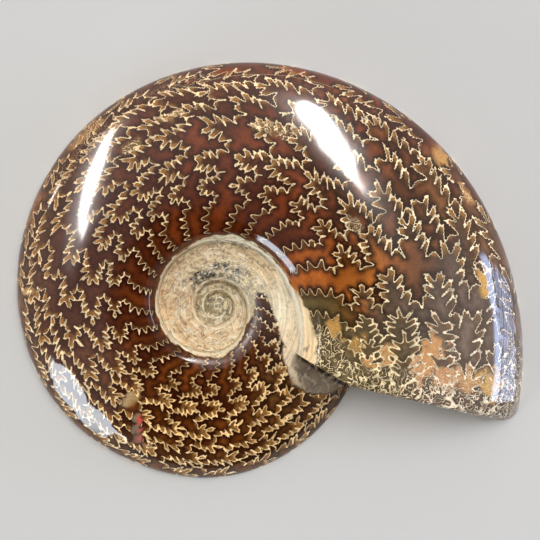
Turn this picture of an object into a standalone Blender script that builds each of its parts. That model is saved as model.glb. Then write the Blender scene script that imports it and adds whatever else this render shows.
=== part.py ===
"""Half of a polished ammonite: one planispiral shell, sawn flat along its middle.

The domed flank faces up, the sawn face lies on the ground, and the body chamber ends
in a second saw cut. Metres, +Z up, +X along the longest extent.
"""
import math

import bmesh
import bpy

MM = 0.001

# Growth angle: degrees grown since the start of the last whorl. It turns clockwise
# as seen from above, and the sawn aperture is at LAST_TURN.
LAST_TURN = 360
FIRST_TURN = -720

# Sections per turn: every 4 degrees, closing up towards the aperture's rounded corner.
TURN_STEPS = list(range(0, 353, 4)) + [354, 355.5, 356.8, 357.8, 358.6, 359.2, 359.7]

# Distance in mm from the coiling axis to the venter (the outer rim) over the last whorl.
VENTER_STEP = 30
VENTER_RADII = [46.0, 48.2, 50.8, 52.4, 55.6, 58.6, 62.0, 66.4, 70.9, 75.8, 81.5, 87.9, 95.4]
TURN_GROWTH = 2.1

# Distance in mm from the axis to the umbilical seam, where each whorl meets the one inside it.
SEAM_RADII = {
    -720: 2.2, -540: 3.4, -360: 5.0, -270: 5.7, -180: 6.4, -90: 7.4, 0: 9.6, 45: 12.4,
    90: 14.3, 135: 16.4, 180: 17.6, 225: 18.5, 270: 19.7, 315: 21.6, 340: 24.4, 360: 27.4,
}

# Half thickness in mm of the whorl at the aperture; it grows in step with the whorls.
HALF_THICKNESS = 24.5

# The aperture cut is a straight line on plan, SWING mm clear of the axis, that turns
# radial inside the start radius of the last whorl. Every section is laid along it.
CUT_HEADING = -13.4
SWING = 13.65
CORNER_SPAN = 3.6
CORNER_DROP = 5.6

# Where a section is sampled: across the part that shows on an inner whorl, and then
# across the rest, which shows on the last whorl only.
INNER_SPLIT = [0.0, 0.04, 0.11, 0.20, 0.32, 0.47, 0.63, 0.81, 1.0]
OUTER_SPLIT = [0.22, 0.43, 0.63, 0.79, 0.90, 0.97, 1.0]

# Whorl section: a short curved wall, a shoulder, then a dome down to the rim.
WALL_SPAN = 0.12
CREST = 0.26
DOME_POWER = 2.1
RIM_POWER = 0.60
WALL_DIP = 0.05
CORE_LEVEL = 0.8


def smooth_curve(points, x):
    """Value at x of a smooth curve through (x, y) points, by Catmull-Rom spans."""
    last = len(points) - 1
    i = max(k for k in range(last) if points[k][0] <= x or k == 0)
    x0, y0 = points[i]
    x1, y1 = points[i + 1]
    before = points[max(i - 1, 0)]
    after = points[min(i + 2, last)]
    span = x1 - x0
    slope0 = (y1 - before[1]) / (x1 - before[0])
    slope1 = (after[1] - y0) / (after[0] - x0)
    t = (x - x0) / span
    rise = y0 + (y1 - y0) * t * t * (3 - 2 * t)
    return rise + span * t * (1 - t) * (slope0 * (1 - t) - slope1 * t)


VENTER_POINTS = [(k * VENTER_STEP, radius) for k, radius in enumerate(VENTER_RADII)]
SEAM_POINTS = sorted(SEAM_RADII.items())


def seam_radius(growth):
    return smooth_curve(SEAM_POINTS, growth)


def venter_radius(growth):
    """Rim radius; inner whorls are the last one scaled down turn by turn."""
    turns_back = 0
    while growth < 0:
        growth += 360
        turns_back += 1
    radius = smooth_curve(VENTER_POINTS, growth)
    corner = (growth - (LAST_TURN - CORNER_SPAN)) / CORNER_SPAN
    if corner > 0 and turns_back == 0:
        radius -= CORNER_DROP * (1 - math.sqrt(max(0.0, 1 - corner * corner)))
    return radius / TURN_GROWTH ** turns_back


def half_thickness(growth):
    return HALF_THICKNESS * TURN_GROWTH ** ((growth - LAST_TURN) / 360)


def dome(u):
    """Height of the flank, as a part of the half thickness, at fraction u of the section."""
    if u < CREST:
        return 1 - WALL_DIP * ((CREST - u) / CREST) ** 2
    fall = (u - CREST) / (1 - CREST)
    return max(0.0, 1 - fall ** DOME_POWER) ** RIM_POWER


def seam_height(growth):
    """Height at which this whorl springs from the whorl one turn inside it."""
    inner = growth - 360
    if inner < FIRST_TURN:
        return CORE_LEVEL * half_thickness(inner)
    return half_thickness(inner) * dome(shown_fraction(inner))


def surface_height(growth, u):
    base = seam_height(growth)
    top = half_thickness(growth) * dome(u)
    reach = min(1.0, u / WALL_SPAN)
    wall = math.sqrt(1 - (1 - reach) ** 2)
    if u > CREST:
        return top
    return base + (top - base) * wall


def plan_point(growth, radius):
    """Plan position of a point on the section at a growth angle, in mm."""
    lean = math.degrees(math.asin(SWING / max(radius, VENTER_RADII[0])))
    heading = math.radians(CUT_HEADING - growth - lean)
    return radius * math.cos(heading), radius * math.sin(heading)


def shown_fraction(growth):
    """Part of a whorl's radial height that stays in sight once the next whorl covers it."""
    seam = seam_radius(growth)
    return (seam_radius(growth + 360) - seam) / (venter_radius(growth) - seam)


def section(growth):
    """Points of one section from the seam outward, on the part of it that shows."""
    seam = seam_radius(growth)
    venter = venter_radius(growth)
    shown = shown_fraction(min(growth, 0))
    fractions = [shown * t for t in INNER_SPLIT]
    if growth >= 0:
        fractions += [shown + (1 - shown) * t for t in OUTER_SPLIT]
    points = []
    for u in fractions:
        radius = seam + u * (venter - seam)
        x, y = plan_point(growth, radius)
        points.append((x * MM, y * MM, surface_height(growth, u) * MM))
    return points


def add_rows(mesh):
    """Lay the sections side by side, sharing each seam with the whorl grown over it.

    The rows are in order of growth, one turn's steps after another, and end at the cut.
    """
    per_turn = len(TURN_STEPS)
    growths = [turn + step for turn in range(FIRST_TURN, LAST_TURN, 360) for step in TURN_STEPS]
    growths.append(LAST_TURN)
    seam_slot = len(INNER_SPLIT) - 1
    rows = [None] * len(growths)
    for k in reversed(range(len(growths))):
        rows[k] = [mesh.verts.new(point) for point in section(growths[k])]
        if k + per_turn < len(rows):
            mesh.verts.remove(rows[k][seam_slot])
            rows[k][seam_slot] = rows[k + per_turn][0]
    return rows


def add_flanks(mesh, rows):
    for near, far in zip(rows, rows[1:]):
        for j in range(min(len(near), len(far)) - 1):
            face = mesh.faces.new([near[j], near[j + 1], far[j + 1], far[j]])
            face.smooth = True


def add_core(mesh, rows):
    """Close the innermost whorl with a fan round a low central point."""
    ring = [row[0] for row in rows[:len(TURN_STEPS) + 1]]
    ring += rows[0][-2:0:-1]
    middle = sum((v.co for v in ring), ring[0].co * 0) / len(ring)
    tip = mesh.verts.new(middle)
    for k, vert in enumerate(ring):
        face = mesh.faces.new([vert, ring[(k + 1) % len(ring)], tip])
        face.smooth = True


def add_saw_cuts(mesh, rows):
    """Close the aperture cut, and the flat sawn face that the half rests on."""
    last_whorl = rows[-len(TURN_STEPS) - 1:]
    aperture = last_whorl[-1]
    covered = last_whorl[0][len(INNER_SPLIT):]
    mesh.faces.new(aperture + covered[::-1])
    mesh.faces.new([row[-1] for row in last_whorl])


def fossil_material():
    material = bpy.data.materials.new("polished_fossil")
    material.use_nodes = True
    shader = material.node_tree.nodes["Principled BSDF"]
    shader.inputs["Base Color"].default_value = (0.16, 0.06, 0.03, 1)
    shader.inputs["Roughness"].default_value = 0.15
    shader.inputs["Metallic"].default_value = 0.0
    return material


def centre_on_floor(obj):
    """Put the middle of the half's bounding box over the origin, its sawn face on z = 0."""
    xs = [v.co.x for v in obj.data.vertices]
    ys = [v.co.y for v in obj.data.vertices]
    obj.location = (-(min(xs) + max(xs)) / 2, -(min(ys) + max(ys)) / 2, 0)


def build_half():
    mesh = bmesh.new()
    rows = add_rows(mesh)
    add_flanks(mesh, rows)
    add_core(mesh, rows)
    add_saw_cuts(mesh, rows)
    bmesh.ops.recalc_face_normals(mesh, faces=mesh.faces)
    data = bpy.data.meshes.new("ammonite_half")
    mesh.to_mesh(data)
    mesh.free()
    data.materials.append(fossil_material())
    return bpy.data.objects.new("ammonite_half", data)


def main():
    for old in list(bpy.data.objects):
        bpy.data.objects.remove(old, do_unlink=True)
    collection = bpy.data.collections.new("ammonite_fossil_half")
    bpy.context.scene.collection.children.link(collection)
    half = build_half()
    collection.objects.link(half)
    centre_on_floor(half)


main()
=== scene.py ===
"""Looks of the ammonite fossil half: a polished flank with suture lines, a pale rough
umbilicus and sawn faces, lying on its sawn face under a camera that looks straight down.

Lengths are in mm about the coiling axis until the mesh is made. A place on the shell is
given by its growth angle g (degrees grown since the start of the last whorl, clockwise
from above, 360 at the aperture cut) and by u, the fraction of the whorl's height from
the umbilical seam (0) to the venter, or outer rim (1).
"""
import math

import bpy
import numpy as np
from mathutils import Matrix, Vector
from mathutils.geometry import delaunay_2d_cdt
from mathutils.kdtree import KDTree


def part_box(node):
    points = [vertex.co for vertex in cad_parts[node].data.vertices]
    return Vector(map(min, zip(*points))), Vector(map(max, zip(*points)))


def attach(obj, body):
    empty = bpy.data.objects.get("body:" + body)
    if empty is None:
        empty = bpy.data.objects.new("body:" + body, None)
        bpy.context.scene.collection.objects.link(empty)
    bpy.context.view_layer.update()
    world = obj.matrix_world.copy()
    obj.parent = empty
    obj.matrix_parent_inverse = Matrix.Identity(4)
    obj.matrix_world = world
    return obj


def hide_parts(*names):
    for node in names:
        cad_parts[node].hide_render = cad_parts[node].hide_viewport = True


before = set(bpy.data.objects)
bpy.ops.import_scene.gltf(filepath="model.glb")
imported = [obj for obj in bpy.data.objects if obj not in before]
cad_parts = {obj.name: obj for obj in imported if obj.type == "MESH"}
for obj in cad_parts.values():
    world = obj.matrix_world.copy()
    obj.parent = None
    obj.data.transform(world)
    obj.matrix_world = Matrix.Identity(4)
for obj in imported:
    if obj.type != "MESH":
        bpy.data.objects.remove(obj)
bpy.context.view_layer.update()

MM = 0.001
NODE = "ammonite_half"

# ---------------------------------------------------------------- form of the shell

# Growth angles of the first whorl that is made and of the aperture cut.
FIRST_TURN = -720.0
LAST_TURN = 360.0
# Outer radius of the last whorl at every step of growth, and the growth of each turn.
VENTER_STEP = 30
VENTER_RADII = [46.0, 48.2, 50.8, 52.4, 55.6, 58.6, 62.0, 66.4, 70.9, 75.8, 81.5, 87.9, 95.4]
TURN_GROWTH = 2.1
# Radius of the umbilical seam by growth.
SEAM_RADII = {
    -720: 2.2, -540: 3.4, -360: 5.0, -270: 5.7, -180: 6.4, -90: 7.4, 0: 9.6, 45: 12.4,
    90: 14.3, 135: 16.4, 180: 17.6, 225: 18.5, 270: 19.7, 315: 21.6, 340: 24.4, 360: 27.4,
}
HALF_THICKNESS = 24.5
# The sections lean: each lies on a line that passes the axis at a distance of SWING.
CUT_HEADING = -13.4
SWING = 13.65
# The rim is rounded off beside the cut over a span of growth, by a drop in mm.
CORNER_SPAN = 3.6
CORNER_DROP = 5.6
# A section, by u: a round wall up to WALL_SPAN, the crest, and a fall to the rim.
WALL_SPAN = 0.12
WALL_DIP = 0.05
CREST = 0.26
DOME_POWER = 2.1
RIM_POWER = 0.60
CORE_LEVEL = 0.8


def smooth_curve(points, x):
    """Values at x of a smooth curve through (x, y) points, by Catmull-Rom spans."""
    px, py = np.array(points, float).T
    x = np.asarray(x, float)
    i = np.clip(np.searchsorted(px, x, side="right") - 1, 0, len(px) - 2)
    before = np.maximum(i - 1, 0)
    after = np.minimum(i + 2, len(px) - 1)
    span = px[i + 1] - px[i]
    slope0 = (py[i + 1] - py[before]) / (px[i + 1] - px[before])
    slope1 = (py[after] - py[i]) / (px[after] - px[i])
    t = np.clip((x - px[i]) / span, 0, 1)
    rise = py[i] + (py[i + 1] - py[i]) * t * t * (3 - 2 * t)
    return rise + span * t * (1 - t) * (slope0 * (1 - t) - slope1 * t)


def smoothstep(low, high, x):
    t = np.clip((np.asarray(x, float) - low) / (high - low), 0, 1)
    return t * t * (3 - 2 * t)


VENTER_POINTS = [(k * VENTER_STEP, radius) for k, radius in enumerate(VENTER_RADII)]
SEAM_POINTS = sorted(SEAM_RADII.items())


def seam_radius(g):
    return smooth_curve(SEAM_POINTS, g)


def venter_radius(g):
    g = np.asarray(g, float)
    back = np.maximum(0, np.ceil(-g / 360))
    radius = smooth_curve(VENTER_POINTS, g + 360 * back)
    corner = np.clip((g - (LAST_TURN - CORNER_SPAN)) / CORNER_SPAN, 0, 1)
    return (radius - CORNER_DROP * (1 - np.sqrt(1 - corner ** 2))) / TURN_GROWTH ** back


def half_thickness(g):
    return HALF_THICKNESS * TURN_GROWTH ** ((np.asarray(g, float) - LAST_TURN) / 360)


def dome(u):
    low = 1 - WALL_DIP * ((CREST - u) / CREST) ** 2
    fall = np.clip((u - CREST) / (1 - CREST), 0, 1)
    high = np.maximum(0, 1 - fall ** DOME_POWER) ** RIM_POWER
    return np.where(u < CREST, low, high)


def shown_fraction(g):
    """Part of a whorl's height that stays in sight under the next whorl."""
    seam = seam_radius(g)
    return (seam_radius(np.asarray(g, float) + 360) - seam) / (venter_radius(g) - seam)


def seam_height(g):
    inner = np.asarray(g, float) - 360
    level = dome(shown_fraction(np.maximum(inner, FIRST_TURN)))
    return half_thickness(inner) * np.where(inner < FIRST_TURN, CORE_LEVEL, level)


def surface_height(g, u):
    base = seam_height(g)
    top = half_thickness(g) * dome(u)
    reach = np.clip(u / WALL_SPAN, 0, 1)
    return base + (top - base) * np.sqrt(1 - (1 - reach) ** 2)


def section_radius(g, u):
    seam = seam_radius(g)
    return seam + u * (venter_radius(g) - seam)


def plan_point(g, radius):
    lean = np.degrees(np.arcsin(SWING / np.maximum(radius, VENTER_RADII[0])))
    heading = np.radians(CUT_HEADING - g - lean)
    return radius * np.cos(heading), radius * np.sin(heading)


# Developed height v: length along a section over its radius, from the seam outward.
# In (growth in radians, v) a small figure keeps its shape anywhere on the shell.
G_STEP = 2.0
G_GRID = np.arange(FIRST_TURN, LAST_TURN + 1, G_STEP)
SPLITS = 240


def develop():
    """Tables along the growth grid: total v, u by v/total, v/total by u, and arc by u."""
    spread = 1 - np.linspace(1, 0, SPLITS + 1) ** 1.6
    even = np.linspace(0, 1, SPLITS + 1)
    g, u = np.meshgrid(G_GRID, spread, indexing="ij")
    r = section_radius(g, u)
    z = surface_height(g, u)
    length = np.hypot(np.diff(r, axis=1), np.diff(z, axis=1))
    start = np.zeros((len(G_GRID), 1))
    v = np.hstack([start, np.cumsum(length / (0.5 * (r[:, 1:] + r[:, :-1])), axis=1)])
    arc = np.hstack([start, np.cumsum(length, axis=1)])
    u_of_w = np.array([np.interp(even, row / row[-1], spread) for row in v])
    w_of_u = np.array([np.interp(even, spread, row / row[-1]) for row in v])
    arc_of_u = np.array([np.interp(even, spread, row) for row in arc])
    return v[:, -1], u_of_w, w_of_u, arc_of_u


TOTAL_V, U_OF_W, W_OF_U, ARC_OF_U = develop()


def look_up(table, g, x):
    """Bilinear reading of a table over the growth grid and x from 0 to 1."""
    gi = np.clip((np.asarray(g, float) - FIRST_TURN) / G_STEP, 0, len(G_GRID) - 1.001)
    xi = np.clip(np.asarray(x, float) * SPLITS, 0, SPLITS - 0.001)
    g0 = gi.astype(int)
    x0 = xi.astype(int)
    a = gi - g0
    b = xi - x0
    near = table[g0, x0] * (1 - b) + table[g0, x0 + 1] * b
    far = table[g0 + 1, x0] * (1 - b) + table[g0 + 1, x0 + 1] * b
    return near * (1 - a) + far * a


def total_v(g):
    return np.interp(g, G_GRID, TOTAL_V)


def v_of_u(g, u):
    return look_up(W_OF_U, g, u) * total_v(g)


def u_of_v(g, v):
    return look_up(U_OF_W, g, v / total_v(g))


# ---------------------------------------------------------------- suture lines

# The course of one suture from the umbilicus to the rim, drawn flat: x is growth ahead of
# its start and y is developed height, both in hundredths of a radian. Lobes bulge back,
# towards smaller growth, and saddles bulge forward.
COURSE = [
    (3, 42), (3, 50), (4, 58), (5, 66), (8, 74),
    # first saddle, first lobe
    (14, 78), (18, 82.5), (14.5, 87.5), (8, 89), (4.5, 93), (8, 97),
    # lateral saddle and lobe
    (16, 98), (21.5, 102.5), (16.5, 107), (8, 108), (3.5, 112.5), (8, 117),
    # upper saddle and lobe
    (17, 117.5), (25, 122), (23, 127), (17, 128.5), (13.5, 132), (17, 135.5),
    # step forward to the outer flank
    (25, 135), (32, 136.5), (34.5, 140.5), (33, 144.5), (39, 147), (46, 145),
    (52.5, 147), (51, 150.5), (46, 153), (50, 157),
    # outer saddle, rim lobe and saddle
    (58, 155.5), (67, 155.5), (71, 159.5), (66, 163.5), (57.5, 163), (53, 167), (57, 171),
    (63, 173), (62, 180),
]
# Height y of the rim, the step forward and the heights it spans, the middle of the course
# by height, and the growth from one suture to the next, all in the same units.
COURSE_TOP = 172.0
COURSE_DRIFT = (52.0, 125.0, 150.0)
COURSE_MIDDLE = ([42, 75, 100, 130, 150], [3, 9, 13, 20, 58])
SUTURE_SPACING = 25.5
# Each suture departs from the course by noise, and by slow swings in x and y.
COURSE_NOISE = 0.5
COURSE_SWINGS = (2.0, 1.5)
COURSE_KNOTS = np.linspace(40, 180, 10)
# Along a course the line runs in fingers: their spacing, their reach back and forward, and
# how far they lean back along growth, by height y.
FINGER_HEIGHTS = [40, 70, 80, 180]
FINGER_SPACING = [9.0, 9.0, 5.0, 4.4]
REACH_BACK = [4.0, 4.4, 4.2, 6.0]
REACH_FORWARD = [3.8, 4.4, 2.4, 2.4]
FINGER_LEAN = [0.35, 0.35, 0.35, 1.3]
# How much fingers vary, how much farther apart they are in bends, half their width as a
# share of their spacing, and how much less than a finger a notch leans.
FINGER_VARIETY = 0.28
SPREAD_IN_BENDS = 0.7
FINGER_WIDTH = 0.26
NOTCH_LEAN = 0.35
# The shares of the free room and of the bend's radius that they may take forward and back,
# the lean from which they may use the room slantwise, and how far along itself a course
# comes back to itself. OPEN stands for no limit, and COURSE_STEP is the step between the
# points of a course.
FORWARD_SHARES = (0.36, 0.40)
BACK_SHARES = (0.46, 0.42)
SLANT_FROM = 0.5
FOLD_LENGTH = 6.0
OPEN = 99.0
COURSE_STEP = 0.5
# From this height and reach on, fingers may have side tips: their chance, and the shares of
# reach and half width at which the dents before them and their own ends lie.
FINGERTIPS_FROM = 78.0
FINGERTIP_REACH = 1.2
SIDE_TIP_CHANCE = 0.85
DENT = (0.55, 0.55)
SIDE_TIP = (0.62, 1.2)
# The finest scallops of the line, which are weaker low on the flank.
CRIMP_LENGTH = 1.5
CRIMP_DEPTH = 0.26
CRIMP_SLIDE = 0.13
CRIMP_BY_HEIGHT = ([40, 66, 80], [0.1, 0.35, 1.0])
# Growth of the first suture, and how the last ones before the aperture crowd together.
FIRST_SUTURE = -62.0
CROWDED_FROM = 324.0
CROWDED_SPACING = 0.55
CROWDED_BREADTH = 0.8


def resample(path, step):
    """The path with evenly spaced points, and each point's distance along it."""
    run = np.concatenate([[0], np.cumsum(np.hypot(*np.diff(path, axis=0).T))])
    along = np.linspace(0, run[-1], max(8, int(run[-1] / step)))
    return np.column_stack([np.interp(along, run, path[:, k]) for k in (0, 1)]), along


def rounded(path, parts, back_pull=1.0, forward_pull=1.0):
    """A smooth curve through the points; a low pull makes turns of that kind pointed."""
    q = np.vstack([2 * path[0] - path[1], path, 2 * path[-1] - path[-2]])
    before = q[1:-1] - q[:-2]
    after = q[2:] - q[1:-1]
    turn = before[:, 0] * after[:, 1] - before[:, 1] * after[:, 0]
    slope = 0.5 * (before + after) * np.where(turn < 0, back_pull, forward_pull)[:, None]
    t = np.linspace(0, 1, parts, endpoint=False)[:, None]
    spans = []
    for a, b, slope_a, slope_b in zip(path, path[1:], slope, slope[1:]):
        ends = a * (1 + 2 * t) * (1 - t) ** 2 + b * t * t * (3 - 2 * t)
        spans.append(ends + slope_a * t * (1 - t) ** 2 - slope_b * t * t * (1 - t))
    return np.vstack(spans + [path[-1:]])


def blurred(rows, reach):
    """Columns of rows smoothed over a few neighbours each way."""
    kernel = np.hanning(2 * reach + 3)[1:-1]
    kernel /= kernel.sum()
    columns = [np.convolve(np.pad(c, reach, mode="edge"), kernel, "valid") for c in rows.T]
    return np.column_stack(columns)


def wobble(along, scale, rng):
    """Smooth noise from -1 to 1 along a path, with features of the given length."""
    knots = rng.uniform(-1, 1, int(along[-1] / scale) + 4)
    return np.interp(along, np.arange(len(knots)) * scale, knots)


def forward_normals(path, reach):
    """Unit normals on a path's forward side, which is on its right."""
    tangent = np.gradient(blurred(path, reach), axis=0)
    tangent /= np.linalg.norm(tangent, axis=1)[:, None] + 1e-12
    return np.column_stack([tangent[:, 1], -tangent[:, 0]])


def room(path, along, normal):
    """Free distance to other stretches of this suture and the next, on one side."""
    best = np.full(len(path), OPEN)
    for shift in (-SUTURE_SPACING, 0, SUTURE_SPACING):
        gap = path[None] + [shift, 0] - path[:, None]
        far = np.hypot(gap[..., 0], gap[..., 1])
        ahead = np.einsum("ijk,ik->ij", gap, normal) > 0.5 * far
        if shift == 0:
            ahead &= np.abs(along[None] - along[:, None]) > FOLD_LENGTH
        best = np.minimum(best, np.where(ahead, far, OPEN).min(axis=1))
    return blurred(best[:, None], 2)[:, 0]


def side_tips(root, aim, sideways, reach, half_width, rng):
    """Points of one finger that ends in one to three small tips."""
    points = [root + aim * reach]
    for side in (-1, 1):
        if rng.random() < SIDE_TIP_CHANCE:
            dent, tip = (
                root + aim * reach * ahead + sideways * side * half_width * aside
                for ahead, aside in (DENT, SIDE_TIP)
            )
            points = [tip, dent] + points if side < 0 else points + [dent, tip]
    return points


class Course:
    """A course with even steps, its normals, its bends and the free room beside it."""

    def __init__(self, points):
        self.path, self.along = resample(points, COURSE_STEP)
        self.step = self.along[1]
        self.normal = forward_normals(self.path, 4)
        self.fore_room = room(self.path, self.along, self.normal)
        self.back_room = room(self.path, self.along, -self.normal)
        heading = np.unwrap(np.arctan2(-self.normal[:, 0], self.normal[:, 1]))
        self.bend = blurred(np.gradient(heading)[:, None] / self.step, 3)[:, 0]

    def index(self, place):
        return min(int(place / self.step), len(self.path) - 1)

    def finger_sizes(self, i):
        """Spacing, reach back and forward, and lean of the fingers at one of the points."""
        spacing, back, fore, lean = (
            np.interp(self.path[i, 1], FINGER_HEIGHTS, values)
            for values in (FINGER_SPACING, REACH_BACK, REACH_FORWARD, FINGER_LEAN)
        )
        return spacing * (1 + SPREAD_IN_BENDS * abs(self.bend[i])), back, fore, lean

    def notch(self, i, fore, lean):
        """Middle of a notch between fingers, as far forward as there is room."""
        free, turn = FORWARD_SHARES
        reach = min(fore, free * self.fore_room[i], turn / max(-self.bend[i], 1e-3))
        return self.path[i] + (self.normal[i] + [NOTCH_LEAN * lean, 0]) * reach

    def finger(self, i, back, lean, half_width, rng):
        """Points of a finger, which reaches as far back as there is room."""
        root = self.path[i]
        aim = -self.normal[i] - [lean, 0]
        slant = np.hypot(*aim) if lean > SLANT_FROM else 1.0
        free, turn = BACK_SHARES
        reach = min(back, free * slant * self.back_room[i], turn / max(self.bend[i], 1e-3))
        aim /= np.hypot(*aim)
        if root[1] < FINGERTIPS_FROM or reach < FINGERTIP_REACH:
            return [root + aim * reach]
        sideways = np.array([-self.normal[i, 1], self.normal[i, 0]])
        return side_tips(root, aim, sideways, reach, half_width, rng)


def fingered(points, rng):
    """The course thrown into fingers that point back, with round notches between them."""
    course = Course(points)
    line = []
    place = 0.0
    while place < course.along[-1]:
        i = course.index(place)
        spacing, back, fore, lean = course.finger_sizes(i)
        vary = 1 + FINGER_VARIETY * rng.uniform(-1, 1, 4)
        line.append(course.notch(i, fore * vary[0], lean))
        place += 0.5 * spacing * vary[1]
        i = course.index(place)
        line += course.finger(i, back * vary[2], lean, FINGER_WIDTH * spacing, rng)
        place += 0.5 * spacing * vary[3]
    return rounded(np.array(line), 8, back_pull=0.95, forward_pull=1.2)


def crimped(path, rng):
    """Fine scallops on the path, with their cusps on its backward side."""
    path, along = resample(path, CRIMP_LENGTH / 12)
    phase = 2 * np.pi * along / CRIMP_LENGTH + wobble(along, CRIMP_LENGTH * 2.5, rng)
    size = CRIMP_DEPTH * (1 + 0.4 * wobble(along, CRIMP_LENGTH * 1.5, rng))
    size *= np.interp(path[:, 1], *CRIMP_BY_HEIGHT)
    slid = along + CRIMP_SLIDE * CRIMP_LENGTH * np.sin(phase)
    base = np.column_stack([np.interp(slid, along, path[:, k]) for k in (0, 1)])
    return base + forward_normals(path, 3) * (size * np.cos(phase))[:, None]


def suture(start, rng, breadth=1.0):
    """One suture as (growth in radians, v) points; breadth scales its lobes' depth."""
    course = np.array(COURSE, float)
    course += rng.normal(0, COURSE_NOISE, course.shape)
    for axis, swing in enumerate(COURSE_SWINGS):
        swings = swing * rng.uniform(-1, 1, len(COURSE_KNOTS))
        course[:, axis] += np.interp(course[:, 1], COURSE_KNOTS, swings)
    path = crimped(fingered(rounded(course, 12), rng), rng)
    total, low, high = COURSE_DRIFT
    drift = total * smoothstep(low, high, path[:, 1])
    growth = math.radians(start) + 0.01 * (drift + (path[:, 0] - drift) * breadth)
    return np.column_stack([growth, path[:, 1] / COURSE_TOP * total_v(np.degrees(growth))])


def all_sutures():
    rng = np.random.default_rng(11)
    lines = []
    start = FIRST_SUTURE
    while start < LAST_TURN:
        crowded = start > CROWDED_FROM
        lines.append((start, suture(start, rng, CROWDED_BREADTH if crowded else 1.0)))
        spacing = math.degrees(0.01 * SUTURE_SPACING) * (CROWDED_SPACING if crowded else 1.0)
        start += spacing * (1 + 0.06 * rng.normal())
    return lines


# ---------------------------------------------------------------- placing points on the shell

# Large odd numbers that scramble a lattice cell's place and the seed into a random value.
CELL_HASH = (374761393, 668265263, 2147483647)
SEED_HASH = 974711
LAST_HASH = 1274126177
SEED_SHIFT = 17.17


def noise3(p, scale, seed):
    """Smooth value noise from -1 to 1 at points p, with features about scale across."""
    q = p / scale + seed * SEED_SHIFT
    cell = np.floor(q).astype(np.int64)
    f = q - cell
    f = f * f * (3 - 2 * f)
    total = np.zeros(len(p))
    for corner in range(8):
        step = np.array([corner & 1, corner >> 1 & 1, corner >> 2 & 1])
        hashed = (cell + step) @ np.array(CELL_HASH) + seed * SEED_HASH
        hashed = (hashed ^ (hashed >> 13)) * LAST_HASH
        value = ((hashed ^ (hashed >> 16)) & 0xFFFF) / 32767.5 - 1
        weight = np.prod(np.where(step == 1, f, 1 - f), axis=1)
        total += value * weight
    return total


def noises(p, waves):
    """Sum of noises, each of them given as (strength, scale, seed)."""
    return sum(strength * noise3(p, scale, seed) for strength, scale, seed in waves)


# Pale shell skin is left where the polisher doesn't reach: the umbilical wall up to
# these heights, and the inner whorls but for a dark wedge under the aperture.
SKIN_EDGE = [(0, 0.02), (40, 0.045), (60, 0.055), (90, 0.034), (140, 0.027), (200, 0.018),
             (250, 0.040), (300, 0.018), (320, 0.030), (340, 0.068), (360, 0.095)]
WEDGE_LOW = [(-720, 1.0), (-52, 1.0), (-50, 0.14), (-42, 0.10), (-30, 0.085), (-12, 0.05), (0, 0.03)]
WEDGE_HIGH = [(-720, 0.0), (-52, 0.0), (-50, 0.14), (-45, 0.21), (-30, 0.235), (-20, 0.255),
              (-10, 0.30), (-3, 0.356), (0, 0.39)]
# Beside the saw cut, the whorl under the aperture ends in glassy, veined stone: how far in
# growth it reaches, by height u. Its inner part and border are pale like the skin.
GLASS_REACH = [(0.35, -5.0), (0.37, 1.0), (0.38, 3.0), (0.40, 6.5), (0.45, 9.5), (0.53, 12.5),
               (0.65, 14.5), (0.74, 12.5), (0.81, 10.0), (0.88, 7.0), (0.93, 4.0), (0.97, 1.2),
               (1.0, 0.6)]
PALE_TONGUE = 3.6
# The flat that is ground along the rim near the aperture: growth over which it starts and
# ends, and the heights u that it spans.
FACET_START = (326.0, 333.0)
FACET_END = (356.0, 359.0)
FACET_SPAN = (0.892, 0.972)
# Small flats ground lower left: growth, height u, depth ground off in mm. None reaches
# farther than FLAT_REACH degrees of growth.
SMALL_FLATS = [(122.0, 0.868, 0.46), (108.0, 0.892, 0.42), (99.0, 0.904, 0.14)]
FLAT_REACH = 25
# The shoulder of the umbilicus is worn flatter here: growth over which that starts and
# ends, the height u of its middle, its half width in u, and its depth in mm.
WORN_START = (262.0, 274.0)
WORN_END = (312.0, 322.0)
WORN_SHOULDER = (0.068, 0.021, 0.25)
# Noises as (strength, scale in mm, seed): how ragged the borders of the skin (in u) and of
# the glass (in degrees) are, and the heights in mm of polish, chalk and growth layers,
# which are stretched along the whorl. The skin lies lower than the polish by its depth.
SKIN_BORDER = [(0.012, 2.2, 5), (0.006, 0.8, 6)]
GLASS_BORDER = [(1.2, 2.4, 7), (0.5, 0.8, 9)]
POLISH_WAVES = [(0.10, 14.0, 1), (0.035, 6.0, 2)]
CHALK_BUMPS = [(0.26, 2.6, 3), (0.16, 1.1, 4)]
LAYER_RIDGES = [(0.14, 0.9, 8)]
LAYER_STRETCH = [7, 1, 1]
SKIN_DEPTH = 0.28


def skin_mask(g, u, p):
    """1 on pale rough skin, 0 on polished fossil, with a ragged border between."""
    u = u + noises(p, SKIN_BORDER)
    outer = 1 - smoothstep(-0.006, 0.006, u - np.interp(g, *np.array(SKIN_EDGE).T))
    past = glass_depth(g, u, p)
    border = (1 - smoothstep(-0.8, 0.8, past - PALE_TONGUE)) * (1 - smoothstep(0.60, 0.70, u))
    tongue = np.maximum(border, 1 - smoothstep(0.46, 0.53, u)) * smoothstep(-0.5, 0.5, past)
    outer = np.maximum(outer, tongue)
    low = smoothstep(-0.01, 0.01, u - np.interp(g, *np.array(WEDGE_LOW).T))
    high = smoothstep(-0.01, 0.01, np.interp(g, *np.array(WEDGE_HIGH).T) - u)
    return np.where(g < 0, 1 - low * high, outer)


def shoulder_dullness(g, u):
    """How much duller than the rest the polish is around the umbilicus."""
    worn = 1 - smoothstep(70, 95, g)
    worn += 0.10 * smoothstep(250, 262, g) * (1 - smoothstep(322, 334, g))
    return worn * (1 - smoothstep(0.12, 0.18, u))


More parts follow.
